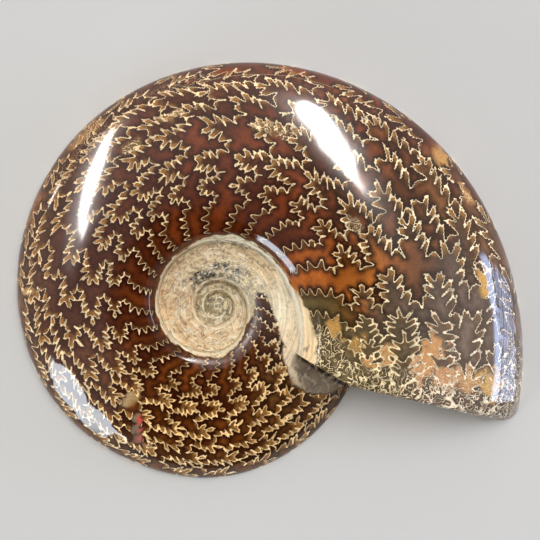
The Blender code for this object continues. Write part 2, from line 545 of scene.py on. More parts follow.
def crumbliness(g, u, p):
    """1 on the crumbly skin, less on the smoother wall and the smooth band by the aperture."""
    late = smoothstep(296, 322, g)
    wall = smoothstep(-75, -35, g) * (1 - smoothstep(20, 40, g)) + late
    band = late * smoothstep(0.026, 0.036, u + 0.004 * noise3(p, 2.0, 43))
    return 1 - 0.5 * wall - 0.35 * band


def glass_depth(g, u, p):
    """How far a place lies within the glassy stone, in degrees of growth from its edge."""
    depth = np.interp(u, *np.array(GLASS_REACH).T) - g + noises(p, GLASS_BORDER)
    return np.where(g < 0, -9.0, depth)


def glass_mask(g, u, p):
    """1 on the glassy stone beside the saw cut."""
    return smoothstep(-0.5, 0.5, glass_depth(g, u, p))


def flow(g, u):
    """Directions on the shell for its growth layers: mm along growth, mm from the seam."""
    return np.column_stack([np.radians(g) * 14, section_radius(g, u) - seam_radius(g), 0 * g])


def edge_fade(g, u):
    """0 on the seams, rim and sawn edges, rising to 1 a little way inside them."""
    inner = np.minimum(g, 0.0)
    outside = np.where(g < 0, shown_fraction(inner) - u, (1 - u) * 3)
    fade = smoothstep(0, 0.035, u) * smoothstep(0, 0.035, outside)
    fade *= smoothstep(0, 1.2, LAST_TURN - g) * smoothstep(0, 6, g - FIRST_TURN)
    below = smoothstep(0, 0.02, shown_fraction(0.0) - u)
    return fade * np.where(g < 0, 1, np.maximum(below, smoothstep(0, 1.2, g)))


def rim_facet(g, u):
    """Rise in mm of the flat ground along the rim, straight on from the slope below it."""
    low, high = FACET_SPAN
    flat = np.clip(u, low, high)
    start, ahead = np.full_like(u, low), np.full_like(u, low + 0.002)
    slope = surface_height(g, ahead) - surface_height(g, start)
    slope /= section_radius(g, ahead) - section_radius(g, start)
    line = surface_height(g, start) + slope * (section_radius(g, flat) - section_radius(g, start))
    rise = np.maximum(line - surface_height(g, flat), 0)
    span = smoothstep(*FACET_START, g) * (1 - smoothstep(*FACET_END, g))
    return rise * span * (1 - smoothstep(high, 1.0, u))


def flats_ground(g, p):
    """Depth in mm that the small flats are ground below each point."""
    depth = np.zeros(len(g))
    for flat_g, flat_u, ground in SMALL_FLATS:
        here = shell_position(np.array([flat_g]), np.array([flat_u]))
        tilt = shell_normal(np.array([flat_g]), np.array([flat_u]), shell_position)[0]
        above = (p - here) @ tilt + ground
        depth = np.maximum(depth, np.where(np.abs(g - flat_g) < FLAT_REACH, above / tilt[2], 0))
    return depth


def shoulder_wear(g, u):
    """Depth in mm that the shoulder of the umbilicus is worn down."""
    middle, width, depth = WORN_SHOULDER
    span = smoothstep(*WORN_START, g) * (1 - smoothstep(*WORN_END, g))
    return depth * span * np.exp(-((u - middle) / width) ** 2)


def relief(g, u, p, skin):
    """Height in mm that polish waves and rough skin add, along the surface normal."""
    layers = noises(flow(g, u) / LAYER_STRETCH, LAYER_RIDGES)
    rough = noises(p, CHALK_BUMPS) + layers - SKIN_DEPTH
    return (noises(p, POLISH_WAVES) + skin * rough) * edge_fade(g, u)


def shell_position(g, u):
    """Smooth surface point for each g and u, in mm about the coiling axis."""
    x, y = plan_point(g, section_radius(g, u))
    return np.column_stack([x, y, surface_height(g, u)])


def shell_normal(g, u, position):
    """Unit outward normals, by differences along growth and along the section."""
    dg = 0.15
    du = 0.0015
    g_high = np.minimum(g + dg, LAST_TURN)
    g_low = np.maximum(g - dg, FIRST_TURN)
    g_span = position(g_high, u) - position(g_low, u)
    u_high = np.minimum(u + du, 1)
    u_low = np.maximum(u - du, 0)
    u_span = position(g, u_high) - position(g, u_low)
    n = np.cross(u_span, g_span)
    n /= np.linalg.norm(n, axis=1)[:, None] + 1e-12
    return n * np.where(n[:, 2:] < 0, -1, 1)


def finished_position(g, u):
    p = shell_position(g, u)
    n = shell_normal(g, u, shell_position)
    rise = rim_facet(g, u) - flats_ground(g, p) - shoulder_wear(g, u)
    facet = np.column_stack([0 * g, 0 * g, rise])
    return p + n * relief(g, u, p, skin_mask(g, u, p))[:, None] + facet


# ---------------------------------------------------------------- colours laid on the shell

# Ground colour along the sutures, glow colour in the clear stone between them and line
# colour, by place: growth g, height u, reach in g, reach in u, ground, glow, line.
ZONES = [
    (60, 0.22, 45, 0.16, (52, 15, 3), (124, 62, 16), (196, 160, 108)),
    (75, 0.60, 35, 0.20, (58, 22, 6), (126, 66, 18), (232, 192, 132)),
    (90, 0.92, 30, 0.10, (74, 42, 22), (124, 76, 36), (230, 200, 152)),
    (20, 0.60, 18, 0.25, (60, 32, 12), (110, 74, 38), (216, 184, 132)),
    (125, 0.70, 16, 0.25, (80, 50, 38), (116, 74, 52), (218, 192, 150)),
    (155, 0.20, 40, 0.14, (54, 16, 4), (112, 52, 16), (216, 188, 144)),
    (175, 0.55, 35, 0.22, (72, 40, 31), (88, 52, 40), (206, 182, 142)),
    (190, 0.88, 30, 0.12, (78, 48, 33), (118, 76, 50), (222, 186, 138)),
    (225, 0.20, 35, 0.14, (54, 16, 4), (104, 44, 12), (202, 172, 128)),
    (235, 0.60, 35, 0.25, (72, 42, 31), (132, 68, 44), (218, 194, 152)),
    (245, 0.90, 30, 0.08, (92, 54, 38), (156, 90, 60), (240, 212, 168)),
    (268, 0.22, 24, 0.16, (56, 17, 4), (112, 50, 14), (206, 178, 134)),
    (272, 0.62, 25, 0.20, (66, 43, 31), (134, 70, 43), (226, 204, 164)),
    (275, 0.99, 40, 0.04, (56, 17, 2), (124, 50, 12), (210, 172, 128)),
    (300, 0.62, 14, 0.20, (62, 40, 27), (134, 80, 48), (214, 192, 152)),
    (308, 0.25, 11, 0.12, (58, 22, 4), (204, 108, 32), (212, 182, 134)),
    (322, 0.33, 9, 0.10, (56, 26, 5), (222, 128, 42), (208, 178, 128)),
    (318, 0.60, 12, 0.18, (64, 45, 32), (150, 94, 56), (236, 214, 172)),
    (320, 0.90, 12, 0.08, (92, 62, 38), (146, 100, 60), (240, 212, 168)),
    (334, 0.70, 9, 0.22, (94, 78, 66), (120, 100, 88), (200, 182, 150)),
    (336, 0.45, 6, 0.10, (86, 71, 55), (114, 96, 80), (204, 184, 146)),
    (334, 0.12, 9, 0.12, (62, 47, 16), (100, 84, 44), (186, 160, 108)),
    (350, 0.30, 9, 0.20, (92, 76, 50), (128, 108, 76), (218, 198, 154)),
    (352, 0.85, 9, 0.25, (110, 90, 74), (140, 118, 102), (222, 204, 174)),
    (-25, 0.25, 25, 0.30, (68, 49, 43), (90, 66, 58), (214, 194, 158)),
]
# Colours of the pale skin, by place in the same way.
SKIN_ZONES = [
    (-600, 0.10, 90, 0.5, (162, 146, 110)),
    (-420, 0.10, 50, 0.5, (216, 194, 152)),
    (-330, 0.10, 40, 0.2, (222, 190, 144)),
    (-250, 0.12, 40, 0.2, (224, 188, 142)),
    (-190, 0.16, 26, 0.2, (206, 170, 130)),
    (-150, 0.08, 20, 0.1, (150, 138, 114)),
    (-140, 0.25, 26, 0.1, (206, 180, 144)),
    (-95, 0.14, 20, 0.1, (144, 136, 114)),
    (-80, 0.30, 22, 0.08, (230, 200, 156)),
    (-50, 0.16, 18, 0.12, (178, 164, 134)),
    (-30, 0.34, 20, 0.06, (236, 222, 192)),
    (-8, 0.36, 12, 0.06, (222, 200, 166)),
    (30, 0.02, 30, 0.06, (236, 208, 162)),
    (110, 0.02, 50, 0.06, (238, 208, 164)),
    (200, 0.02, 30, 0.06, (216, 192, 154)),
    (260, 0.012, 50, 0.010, (138, 136, 126)),
    (250, 0.04, 60, 0.016, (216, 202, 166)),
    (320, 0.012, 24, 0.012, (232, 218, 194)),
    (340, 0.06, 22, 0.03, (234, 200, 150)),
]
# Patches with a colour of their own: growth, height u, half length along growth and across
# it in mm, how much of it the fine maze of lines covers (-1 where no line crosses it), colour.
PATCHES = [
    (341, 0.17, 4.6, 2.4, 0.3, (200, 150, 76)),
    (347, 0.24, 4.0, 6.5, 0.7, (184, 138, 70)),
    (348, 0.33, 4.4, 4.5, 0.4, (216, 160, 96)),
    (350, 0.42, 5.0, 6.5, 0.5, (214, 160, 98)),
    (352, 0.53, 5.5, 5.5, 0.6, (220, 160, 108)),
    (347, 0.60, 6.5, 4.0, 0.1, (222, 164, 106)),
    (353, 0.66, 4.0, 4.0, 0.5, (214, 158, 108)),
    (352, 0.76, 5.0, 5.0, 0.6, (210, 158, 104)),
    (353, 0.86, 5.0, 4.4, 0.7, (214, 166, 92)),
    (332, 0.862, 5.4, 1.7, 0.0, (226, 172, 90)),
    (303.6, 0.960, 4.6, 2.0, -1, (208, 152, 84)),
    (308.6, 0.955, 2.2, 1.4, -1, (112, 66, 42)),
    (312.4, 0.955, 4.0, 1.2, 0.6, (190, 136, 76)),
    (230, 0.775, 4.5, 1.3, 0.8, (166, 126, 78)),
    (259, 0.64, 5.2, 2.4, 1.0, (132, 98, 60)),
    (102, 0.55, 2.0, 2.0, 0.6, (172, 132, 82)),
    (103, 0.59, 1.2, 2.6, -1, (186, 156, 112)),
    (157, 0.914, 1.0, 3.2, 0.0, (200, 160, 108)),
    (206, 0.965, 9.0, 1.8, 0.6, (164, 112, 56)),
    (182, 0.985, 6.0, 1.2, 0.4, (142, 84, 36)),
    (300, 0.44, 3.0, 2.0, 0.9, (120, 96, 70)),
    (214, 0.72, 3.4, 1.6, 0.9, (134, 104, 66)),
    (94.6, 0.67, 1.3, 2.6, -1, (142, 120, 94)),
    (92.6, 0.73, 1.3, 2.6, -1, (134, 112, 90)),
    (90.4, 0.80, 1.3, 2.6, -1, (128, 106, 84)),
    (85.5, 0.86, 1.2, 1.6, 0.0, (176, 136, 96)),
    (94.0, 0.665, 0.70, 1.7, -1, (216, 84, 74)),
    (92.6, 0.705, 0.70, 1.7, -1, (216, 84, 74)),
    (91.0, 0.750, 0.70, 1.7, -1, (196, 96, 88)),
    (89.6, 0.795, 0.70, 1.5, -1, (190, 98, 90)),
    (247.5, 0.955, 5.0, 1.2, 0.0, (134, 58, 16)),
    (264.5, 0.978, 6.0, 1.3, 0.0, (136, 56, 14)),
    (355, 0.040, 1.0, 0.7, 0.0, (96, 84, 70)),
    (349, 0.105, 1.8, 0.8, 0.2, (88, 78, 58)),
    (-142, 0.11, 3.6, 2.2, 1.0, (140, 130, 112)),
    (-113, 0.17, 2.8, 1.2, 0.9, (140, 132, 112)),
    (-92, 0.16, 1.6, 0.9, 0.8, (140, 132, 112)),
    (-160, 0.10, 1.8, 1.1, 0.8, (150, 138, 114)),
]
# Where a fine maze of lines covers the stone: growth, height u, reaches, strength.
MAZES = [
    (360, 0.55, 9, 0.60, 1.0),
    (352, 0.10, 14, 0.12, 1.0),
    (350, 0.97, 8, 0.05, 0.8),
    (200, 0.90, 16, 0.05, 0.6),
    (235, 0.93, 12, 0.03, 0.5),
]
# Pale scratches, a painted highlight along the edge of the band polished along the rim (the
# first), and the edges of broken layers in the umbilicus, as places (g, u). On the skin each
# scratch has a band of painted shadow beside it.
SCRATCHES_AND_PAINTED_HIGHLIGHT = [
    [(240, 0.905), (246, 0.922), (254, 0.932), (264, 0.942), (274, 0.944)],
    [(-112, 0.29), (-96, 0.31), (-72, 0.27), (-50, 0.22)],
    [(-112, 0.12), (-100, 0.20), (-84, 0.23), (-76, 0.20)],
    [(-250, 0.30), (-225, 0.24), (-205, 0.22), (-190, 0.14)],
    [(-330, 0.20), (-290, 0.30), (-262, 0.24), (-240, 0.30)],
    [(-60, 0.36), (-40, 0.40), (-20, 0.42), (-6, 0.43)],
    [(-425, 0.190), (-390, 0.203), (-356, 0.226), (-325, 0.286), (-300, 0.30)],
    [(-300, 0.085), (-287, 0.075), (-252, 0.045), (-218, 0.025), (-190, 0.040)],
    [(-150, 0.030), (-120, 0.022), (-90, 0.012), (-66, 0.020)],
    [(50, 0.012), (70, 0.006), (94, 0.015), (130, 0.012)],
    [(170, 0.020), (204, 0.006), (231, 0.009), (260, 0.020), (291, 0.008), (338, 0.006)],
    [(190, 0.022), (230, 0.030), (270, 0.034), (310, 0.030)],
    [(250, 0.012), (290, 0.018), (330, 0.014), (352, 0.030)],
]
# Fill of the lobes' tips, away from the line and beside it.
BROWN_GOLD = (98, 54, 20)
GOLD = (186, 130, 66)
# Marks on the pale skin, and the painted shade that lies beside its scratches and in the seams of
# its whorls.
CREAM = (242, 220, 176)
CHALK = (252, 240, 212)
SPECK = (40, 36, 36)
SILVER = (168, 158, 138)
PAINTED_SHADE = (96, 82, 62)
CAP_COLOUR = (170, 156, 118)
# The glassy stone beside the saw cut.
GLASS = (124, 108, 96)
GLASS_PALE = (180, 162, 136)
GLASS_VEIN = (206, 192, 164)
CUT_EDGE = (44, 44, 48)
# The sawn faces, dark and pale.
CUT_COLOURS = (96, 66, 42), (176, 146, 108)
BASE_COLOURS = (78, 44, 22), (170, 128, 82)
SAWN_WALL = (206, 178, 134)
# Clouds, shades and ragged borders of the colours, as (strength, scale in mm, seed). The
# skin's layers are stretched 16 and 9 times along the whorl. The patches' strength follows,
# and the degrees of growth that none of them reaches beyond.
STONE_CLOUD = [(0.55, 8.0, 21), (0.3, 3.0, 22)]
STONE_SHADE = [(0.16, 5.0, 23), (0.12, 1.6, 24)]
SKIN_STAIN = [(1.0, 3.0, 33), (0.6, 1.1, 34)]
LONG_LAYERS = [(1.0, 0.9, 31)]
SHORT_LAYERS = [(0.6, 0.45, 32)]
GLASS_CLOUD = [(0.6, 3.4, 36), (0.3, 1.2, 37)]
CUT_CLOUD = [(0.4, 7.0, 41), (0.2, 2.0, 42)]
BASE_CLOUD = [(0.5, 11.0, 51), (0.2, 3.0, 52)]
PATCH_BORDER = [(0.45, 2.6, 38), (0.45, 1.1, 39)]
PATCH_STRENGTH = 0.9
PATCH_REACH = 60
# Lines grow thinner within this radius, and distances to them are kept up to FAR, in mm.
FULL_WIDTH_RADIUS = 62.0
FAR = 4.0
# Cell, blur and margin in mm of the field that finds the lobes' tips, and its range from
# outside to within a tip.
POCKET_CELL = 0.25
POCKET_BLUR = 0.55
POCKET_MARGIN = 6
TIP_RANGE = (0.05, 0.24)
# The gold fill lies ahead of a line or on it: how near in mm counts as on it, how far out in
# mm the fill fades, over which heights u it grows to its full strength, and over which
# growth it fades towards the aperture.
ON_LINE = 0.05
GOLD_FADE = (0.8, 2.2)
GOLD_HEIGHTS = (0.25, 0.5)
GOLD_LAST = (322, 336)


def linear(colour):
    """A colour written as sRGB from 0 to 255, as linear light."""
    c = np.array(colour, float) / 255
    return np.where(c <= 0.04045, c / 12.92, ((c + 0.055) / 1.055) ** 2.4)


def blended(zones, g, u):
    """Colours written last in each zone, blended at each place by its closeness to them."""
    colours = [np.zeros((len(g), 3)) for _ in zones[0][4:]]
    total = np.full(len(g), 1e-9)
    for zone_g, zone_u, reach_g, reach_u, *written in zones:
        far = ((g - zone_g) / reach_g) ** 2 + ((u - zone_u) / reach_u) ** 2
        weight = np.exp(-far) + 1e-7 / (1 + far)
        for colour, sums in zip(written, colours):
            sums += weight[:, None] * linear(colour)
        total += weight
    return [sums / total[:, None] for sums in colours]


def stone_tone(g, u, p, away, side, chamber):
    """Stone colour, dark close to the lines and amber in clear places, and line colour."""
    ground, glow, line = blended(ZONES, np.where(g < 0, g, 0.25 * g + 0.75 * chamber), u)
    clear = smoothstep(0.45, 1.7, away) * np.clip(0.7 + noises(p, STONE_CLOUD), 0, 1.1)
    shade = 1 + noises(p, STONE_SHADE)
    shade *= np.where(side < 0, 0.80 + 0.20 * smoothstep(0.3, 1.0, away), 1)
    return (ground + (glow - ground) * clear[:, None]) * shade[:, None], line


def skin_tone(g, u, p):
    """Chalk colour in layers that follow the whorl, with earthy and silvery stains."""
    tone = blended(SKIN_ZONES, g, u)[0]
    layers = noises(flow(g, u) / [16, 1, 1], LONG_LAYERS)
    layers += noises(flow(g, u) / [9, 1, 1], SHORT_LAYERS)
    return tone * (1.19 + 0.16 * layers + 0.14 * noises(p, SKIN_STAIN))[:, None]


def clouded(dark, pale, cloud):
    """Blend of a dark and a pale colour, by a cloud of numbers from 0 to 1."""
    return linear(dark) + (linear(pale) - linear(dark)) * np.clip(cloud, 0, 1)[:, None]


def glass_tone(g, p):
    """Clouded stone colour beside the saw cut, dark along the cut itself."""
    tone = clouded(GLASS, GLASS_PALE, 0.4 + noises(p, GLASS_CLOUD))
    edge = (1 - smoothstep(1.2, 2.6, g))[:, None]
    return tone + (linear(CUT_EDGE) - tone) * edge


def add_patches(tone, maze, g, u, p, number):
    """Lay the coloured patches over the tones, and their share of the maze.

    Those near the aperture keep to the chamber that their middle lies in.
    """
    ragged = noises(p, PATCH_BORDER)
    bare = np.zeros(len(g))
    for patch_g, patch_u, length, width, share, colour in PATCHES:
        here = shell_position(np.array([patch_g, patch_g + 0.5]), np.array([patch_u, patch_u]))
        along = (here[1] - here[0])[:2] / np.hypot(*(here[1] - here[0])[:2])
        gap = (p - here[0])[:, :2]
        far = np.hypot(gap @ along / length, gap @ [along[1], -along[0]] / width)
        near = 1 - smoothstep(0.75, 1.0, far + ragged)
        near *= np.abs(g - patch_g) < PATCH_REACH
        if patch_g > CROWDED_FROM:
            near *= number == number[np.hypot(*gap.T).argmin()]
        tone += (linear(colour) - tone) * PATCH_STRENGTH * near[:, None]
        maze = np.maximum(maze * (1 - near), near * share)
        if share < 0:
            bare = np.maximum(bare, near)
    return tone, maze, bare


def maze_mask(g, u, p):
    """How strongly the fine maze of lines shows."""
    total = np.zeros(len(g))
    for zone_g, zone_u, reach_g, reach_u, strength in MAZES:
        total += strength * np.exp(-((g - zone_g) / reach_g) ** 4 - ((u - zone_u) / reach_u) ** 4)
    return np.clip(total * (1 + 0.5 * noise3(p, 4.0, 40)), 0, 1) * (g > 0)


def pockets(samples, ahead, points):
    """How far each point lies within a narrow lobe of a line: most in its tip, 0 outside.

    The lines' forward normals meet inside the lobes, so the blurred field of normals
    flows together there.
    """
    low = samples.min(axis=0) - POCKET_MARGIN
    size = np.ceil((samples.max(axis=0) + POCKET_MARGIN - low) / POCKET_CELL).astype(int)
    cell = ((samples - low) / POCKET_CELL).astype(int)
    flat = cell[:, 0] * size[1] + cell[:, 1]
    fx = np.fft.fftfreq(size[0])[:, None]
    fy = np.fft.rfftfreq(size[1])[None, :]
    blur = np.exp(-2 * (np.pi * POCKET_BLUR / POCKET_CELL) ** 2 * (fx ** 2 + fy ** 2))
    meeting = 0
    for axis, frequency in ((0, fx), (1, fy)):
        field = np.bincount(flat, weights=ahead[:, axis], minlength=size[0] * size[1])
        meeting = meeting - np.fft.rfft2(field.reshape(size)) * blur * 2j * np.pi * frequency
    soft = np.fft.irfft2(meeting, s=size)
    at = np.clip(((points - low) / POCKET_CELL).astype(int), 0, size - 1)
    return soft[at[:, 0], at[:, 1]]


def gold_fill(g, u, away, side, pocket):
    """How strongly gold fills a place: in the tips of lobes, ahead of the line."""
    gold = np.where((side > 0) | (away < ON_LINE), smoothstep(*TIP_RANGE, pocket), 0)
    gold *= 1 - smoothstep(*GOLD_FADE, away)
    gold *= 0.35 + 0.65 * smoothstep(*GOLD_HEIGHTS, u)
    return gold * (1 - 0.6 * smoothstep(*GOLD_LAST, g))


# ---------------------------------------------------------------- meshing the patches

# Steps along the boundaries in degrees of growth, then the lattice between the lines and
# the empty strip beside the boundary, both in the flat plane, and the degrees of growth
# that are left empty at both ends of a strip.
SEAM_STEP = 1.5
RIM_STEP = 0.75
LATTICE = 0.029
BORDER = 0.012
END_MARGIN = 0.6
# Gap in mm between the points along and beside a line, and how many gaps the points beside
# a line and those of the lattice stay clear of the lines.
POINT_GAP = 0.45
BESIDE_CLEAR = 0.62
LATTICE_CLEAR = 1.7
# Steps in the flat plane between the points that stand in for a suture when distances to
# it are measured, when points are laid along it, and for the scratches and the painted
# highlight line.
SAMPLE_STEP = 0.0016
ROW_STEP = 0.001
SCRATCH_AND_HIGHLIGHT_STEP = 0.004
# The cap over the first turns, in mm: lattice, its reach, its rise in the middle, the empty
# margin inside its edge, and how much its normals lean outward for each mm.
CAP_GRID = 0.4
CAP_REACH = 6
CAP_RISE = 0.4
CAP_MARGIN = 0.3
CAP_LEAN = 0.1
# The cut aperture face, in mm: its lattice, the corners (radius, height) that this lies
# between, its first radius, the empty margins inside the rim and inside the other edges,
# and the wall line's depth from the shell.
CUT_GRID = 0.9
CUT_BOX = (26, 0), (92, 25)
CUT_FIRST = 28.4
CUT_RIM_MARGIN = 0.6
CUT_MARGIN = 0.5
CUT_WALL = 0.7
# The sawn median face, in mm: lattices outside and in the middle, whose reach follows, and
# the innermost whorl's wall with its growth in a turn.
BASE_GRID = 2.2
CORE_GRID = 0.7
CORE_REACH = 17.0
CORE_WALL = 8.0
CORE_GROWTH = 1.9
# The empty margins in mm of both lattices: round the boundary, and along the lines outside
# and in the middle.
BASE_MARGIN = 1.0
WALL_MARGIN = 0.9
CORE_MARGIN = 0.4
# The face's whorl walls: the growth that they start at, their depth in mm from the rim,
# and the step in mm between the points along them.
WALLS_START = FIRST_TURN + 120
WALL_DEPTH = 0.8
WALL_STEP = 0.6
# Its septa: the growth that they start and end at and that between them, how that varies,
# and how far they bow back.
SEPTA_START = FIRST_TURN + 400
SEPTA_END = LAST_TURN - 8
SEPTUM_STEP = 13.0
SEPTUM_SWING = 1.6
SEPTUM_BOW = 7.0
# Growths and heights u of the points along the boundaries, closer by the aperture and rim,
# and the radii of those along the foot of the cut.
SHOWN_0 = float(shown_fraction(0.0))
CORE_U = np.linspace(float(shown_fraction(FIRST_TURN)), 0, 10)
RIM_GROWTH = np.concatenate([np.arange(0, 356, RIM_STEP), np.arange(356, 360.1, 0.25)])
APERTURE_U = np.linspace(0, 1, 110) ** 0.9
START_U = np.concatenate([np.linspace(0, SHOWN_0, 50)[:-1], np.linspace(SHOWN_0, 1, 40)])
FOOT_RADII = np.linspace(VENTER_RADII[0], float(venter_radius(LAST_TURN)), 50)


def inside_loop(points, loop):
    """Which plane points lie inside a closed loop, by counting edges to their right."""
    x, y = points[:, :1], points[:, 1:]
    ax, ay = loop.T
    bx, by = np.roll(loop, -1, axis=0).T
    crosses = (ay > y) != (by > y)
    rise = np.where(by == ay, 1, by - ay)
    right = x < ax + (bx - ax) * (y - ay) / rise
    return (crosses & right).sum(axis=1) % 2 == 1


def fill(loop, inside):
    """Delaunay triangles over a closed loop of plane points and the points inside it."""
    points = np.vstack([loop, inside]) if len(inside) else loop
    ring = list(range(len(loop)))
    result = delaunay_2d_cdt([Vector(p) for p in points], [], [ring], 1, 1e-9, True)
    place = [ids[0] for ids in result[3]]
    faces = np.array([[place[i] for i in face] for face in result[2] if len(face) == 3])
    bridging = (faces < len(loop)).all(axis=1)
    outside = ~inside_loop(points[faces[bridging]].mean(axis=1), loop)
    return np.delete(faces, np.flatnonzero(bridging)[outside], axis=0)


def lattice(low, high, step):
    """A hexagonal lattice over the rectangle between two corners."""
    rows = np.arange(low[1], high[1], step * 0.866)
    x, y = np.meshgrid(np.arange(low[0], high[0], step), rows)
    x = x + (np.arange(len(rows)) % 2)[:, None] * step / 2
    return np.column_stack([x.ravel(), y.ravel()])


def build_tree(points):
    tree = KDTree(len(points))
    for k, p in enumerate(points):
        tree.insert(p, k)
    tree.balance()
    return tree


def on_plane(points):
    """Plane points with a height of 0."""
    return np.column_stack([points, np.zeros(len(points))])


def nearest(tree, points):
    """Index of the tree's point nearest to each of these points, and its distance."""
    found = [tree.find(p)[1:] for p in points]
    return np.array([f[0] for f in found]), np.array([f[1] for f in found])


def distance(tree, points):
    return nearest(tree, points)[1]


class Sutures:
    """Close samples along all the sutures, for measuring how a point lies to them."""

    def __init__(self, lines):
        shells = []
        ahead = []
        middle = []
        order = []
        for number, (start, line) in enumerate(lines):
            fine = resample(line, SAMPLE_STEP)[0]
            growth = np.degrees(fine[:, 0])
            fine = fine[(growth > -90) & (growth < LAST_TURN + 1)]
            if len(fine) > 4:
                shell = to_shell(fine)
                shells.append(shell)
                ahead.append(forward_normals(shell[:, :2], 2))
                height = COURSE_TOP * fine[:, 1] / total_v(np.degrees(fine[:, 0]))
                middle.append(start + np.degrees(0.01 * np.interp(height, *COURSE_MIDDLE)))
                order.append(np.full(len(fine), number))
        self.points = np.vstack(shells)
        self.ahead = np.vstack(ahead)
        self.middle = np.concatenate(middle)
        self.order = np.concatenate(order)
        self.tree = build_tree(self.points)

    def measure(self, points):
        """Distance to the nearest suture, 1 or -1 ahead or behind it, chamber's growth
        and number."""
        near, away = nearest(self.tree, points)
        across = ((points - self.points[near])[:, :2] * self.ahead[near]).sum(axis=1)
        side = np.where(across > 0, 1.0, -1.0)
        growth = self.middle[near] + side * math.degrees(0.005 * SUTURE_SPACING)
        return away, side, growth, self.order[near] + (side > 0)


def outer_loop():
    """Boundary of the last whorl as (g, u): seam, aperture, rim, and start section."""
    seam = [(g, 0.0) for g in np.arange(0, LAST_TURN, SEAM_STEP)]
    aperture = [(LAST_TURN, u) for u in APERTURE_U[:-1]]
    rim = [(g, 1.0) for g in RIM_GROWTH[:0:-1]]
    start = [(0.0, u) for u in START_U[:0:-1]]
    return np.array(seam + aperture + rim + start)


def inner_loop():
    """Boundary of the whorls inside the last one: seams, start section and core."""
    steps = np.arange(FIRST_TURN, 0, SEAM_STEP)
    seam = [(g, 0.0) for g in steps]
    start = [(0.0, u) for u in START_U[START_U < SHOWN_0 - 1e-9]]
    top = [(g, float(shown_fraction(g))) for g in np.append(steps, 0.0)[::-1]]
    core = [(FIRST_TURN, u) for u in CORE_U[1:-1]]
    return np.array(seam + start + top + core)


def inside_strip(flat, inner):
    """Which (radians, v) points lie well inside the last whorl, or the inner ones."""
    g = np.degrees(flat[:, 0])
    limit = v_of_u(g, shown_fraction(np.minimum(g, 0))) if inner else total_v(g)
    first, last = (FIRST_TURN, 0.0) if inner else (0.0, LAST_TURN)
    keep = (g > first + END_MARGIN) & (g < last - END_MARGIN)
    return keep & (flat[:, 1] > BORDER) & (flat[:, 1] < limit - BORDER)


def to_shell(flat):
    g = np.degrees(flat[:, 0])
    return shell_position(g, u_of_v(g, flat[:, 1]))


def suture_rows(lines):
    """Evenly spaced points on all sutures and beside them, in the flat plane."""
    rows = []
    for _, line in lines:
        fine, along = resample(line, ROW_STEP)
        size = np.hypot(*to_shell(fine)[:, :2].T)
        run = np.concatenate([[0], np.cumsum(np.diff(along) * 0.5 * (size[1:] + size[:-1]))])
        even = np.interp(np.arange(0, run[-1], POINT_GAP), run, along)
        p = np.column_stack([np.interp(even, along, fine[:, k]) for k in (0, 1)])
        t = np.gradient(p, axis=0)
        t /= np.linalg.norm(t, axis=1)[:, None] + 1e-12
        aside = np.column_stack([t[:, 1], -t[:, 0]]) * POINT_GAP
        aside /= np.interp(even, along, size)[:, None]
        rows.append((p, p + aside, p - aside))
    return [np.vstack(kind) for kind in zip(*rows)]


def strip(inner, rows, sutures):
    """One strip of the shell, meshed in the flat plane and dense along the sutures."""
    loop = inner_loop() if inner else outer_loop()
    edge = np.column_stack([np.radians(loop[:, 0]), v_of_u(loop[:, 0], loop[:, 1])])
    middle = rows[0][inside_strip(rows[0], inner)]
    beside = np.vstack(rows[1:])
    beside = beside[inside_strip(beside, inner)]
    beside = beside[distance(sutures.tree, to_shell(beside)) > BESIDE_CLEAR * POINT_GAP]
    grid = lattice(edge.min(axis=0), edge.max(axis=0), LATTICE)
    grid = grid[inside_strip(grid, inner)]
    grid = grid[distance(sutures.tree, to_shell(grid)) > LATTICE_CLEAR * POINT_GAP]
    inside = np.vstack([middle, beside, grid])
    inside_g = np.degrees(inside[:, 0])
    g = np.concatenate([loop[:, 0], inside_g])
    u = np.concatenate([loop[:, 1], u_of_v(inside_g, inside[:, 1])])
    return g, u, fill(edge, inside)


def front_map(g, u):
    """The front unrolled flat about the axis, with true lengths out from the seam."""
    radius = section_radius(g, u)
    rolled = seam_radius(g) + look_up(ARC_OF_U, g, u)
    rolled = np.where(g < 0, radius, rolled)
    return np.column_stack(plan_point(g, radius)) * (rolled / radius)[:, None]


def mixed(a, b, share):
    return a + (b - a) * (share if np.ndim(a) == 1 else share[:, None])


def scratch_and_highlight_lines():
    """The scratches and the painted highlight line as flat paths, in the same coordinates as the
    sutures.
    """
    lines = []
    for places in SCRATCHES_AND_PAINTED_HIGHLIGHT:
        g, u = np.array(places, float).T
        steps = np.linspace(0, len(g) - 1, 40 * len(g))
        g, u = (smooth_curve(list(enumerate(values)), steps) for values in (g, u))
        lines.append((g[0], np.column_stack([np.radians(g), v_of_u(g, u)])))
    return lines


def scratch_and_highlight_distance(points):
    fine = [to_shell(resample(line, SCRATCH_AND_HIGHLIGHT_STEP)[0]) for _, line in scratch_and_highlight_lines()]
    return np.minimum(distance(build_tree(np.vstack(fine)), points), FAR)


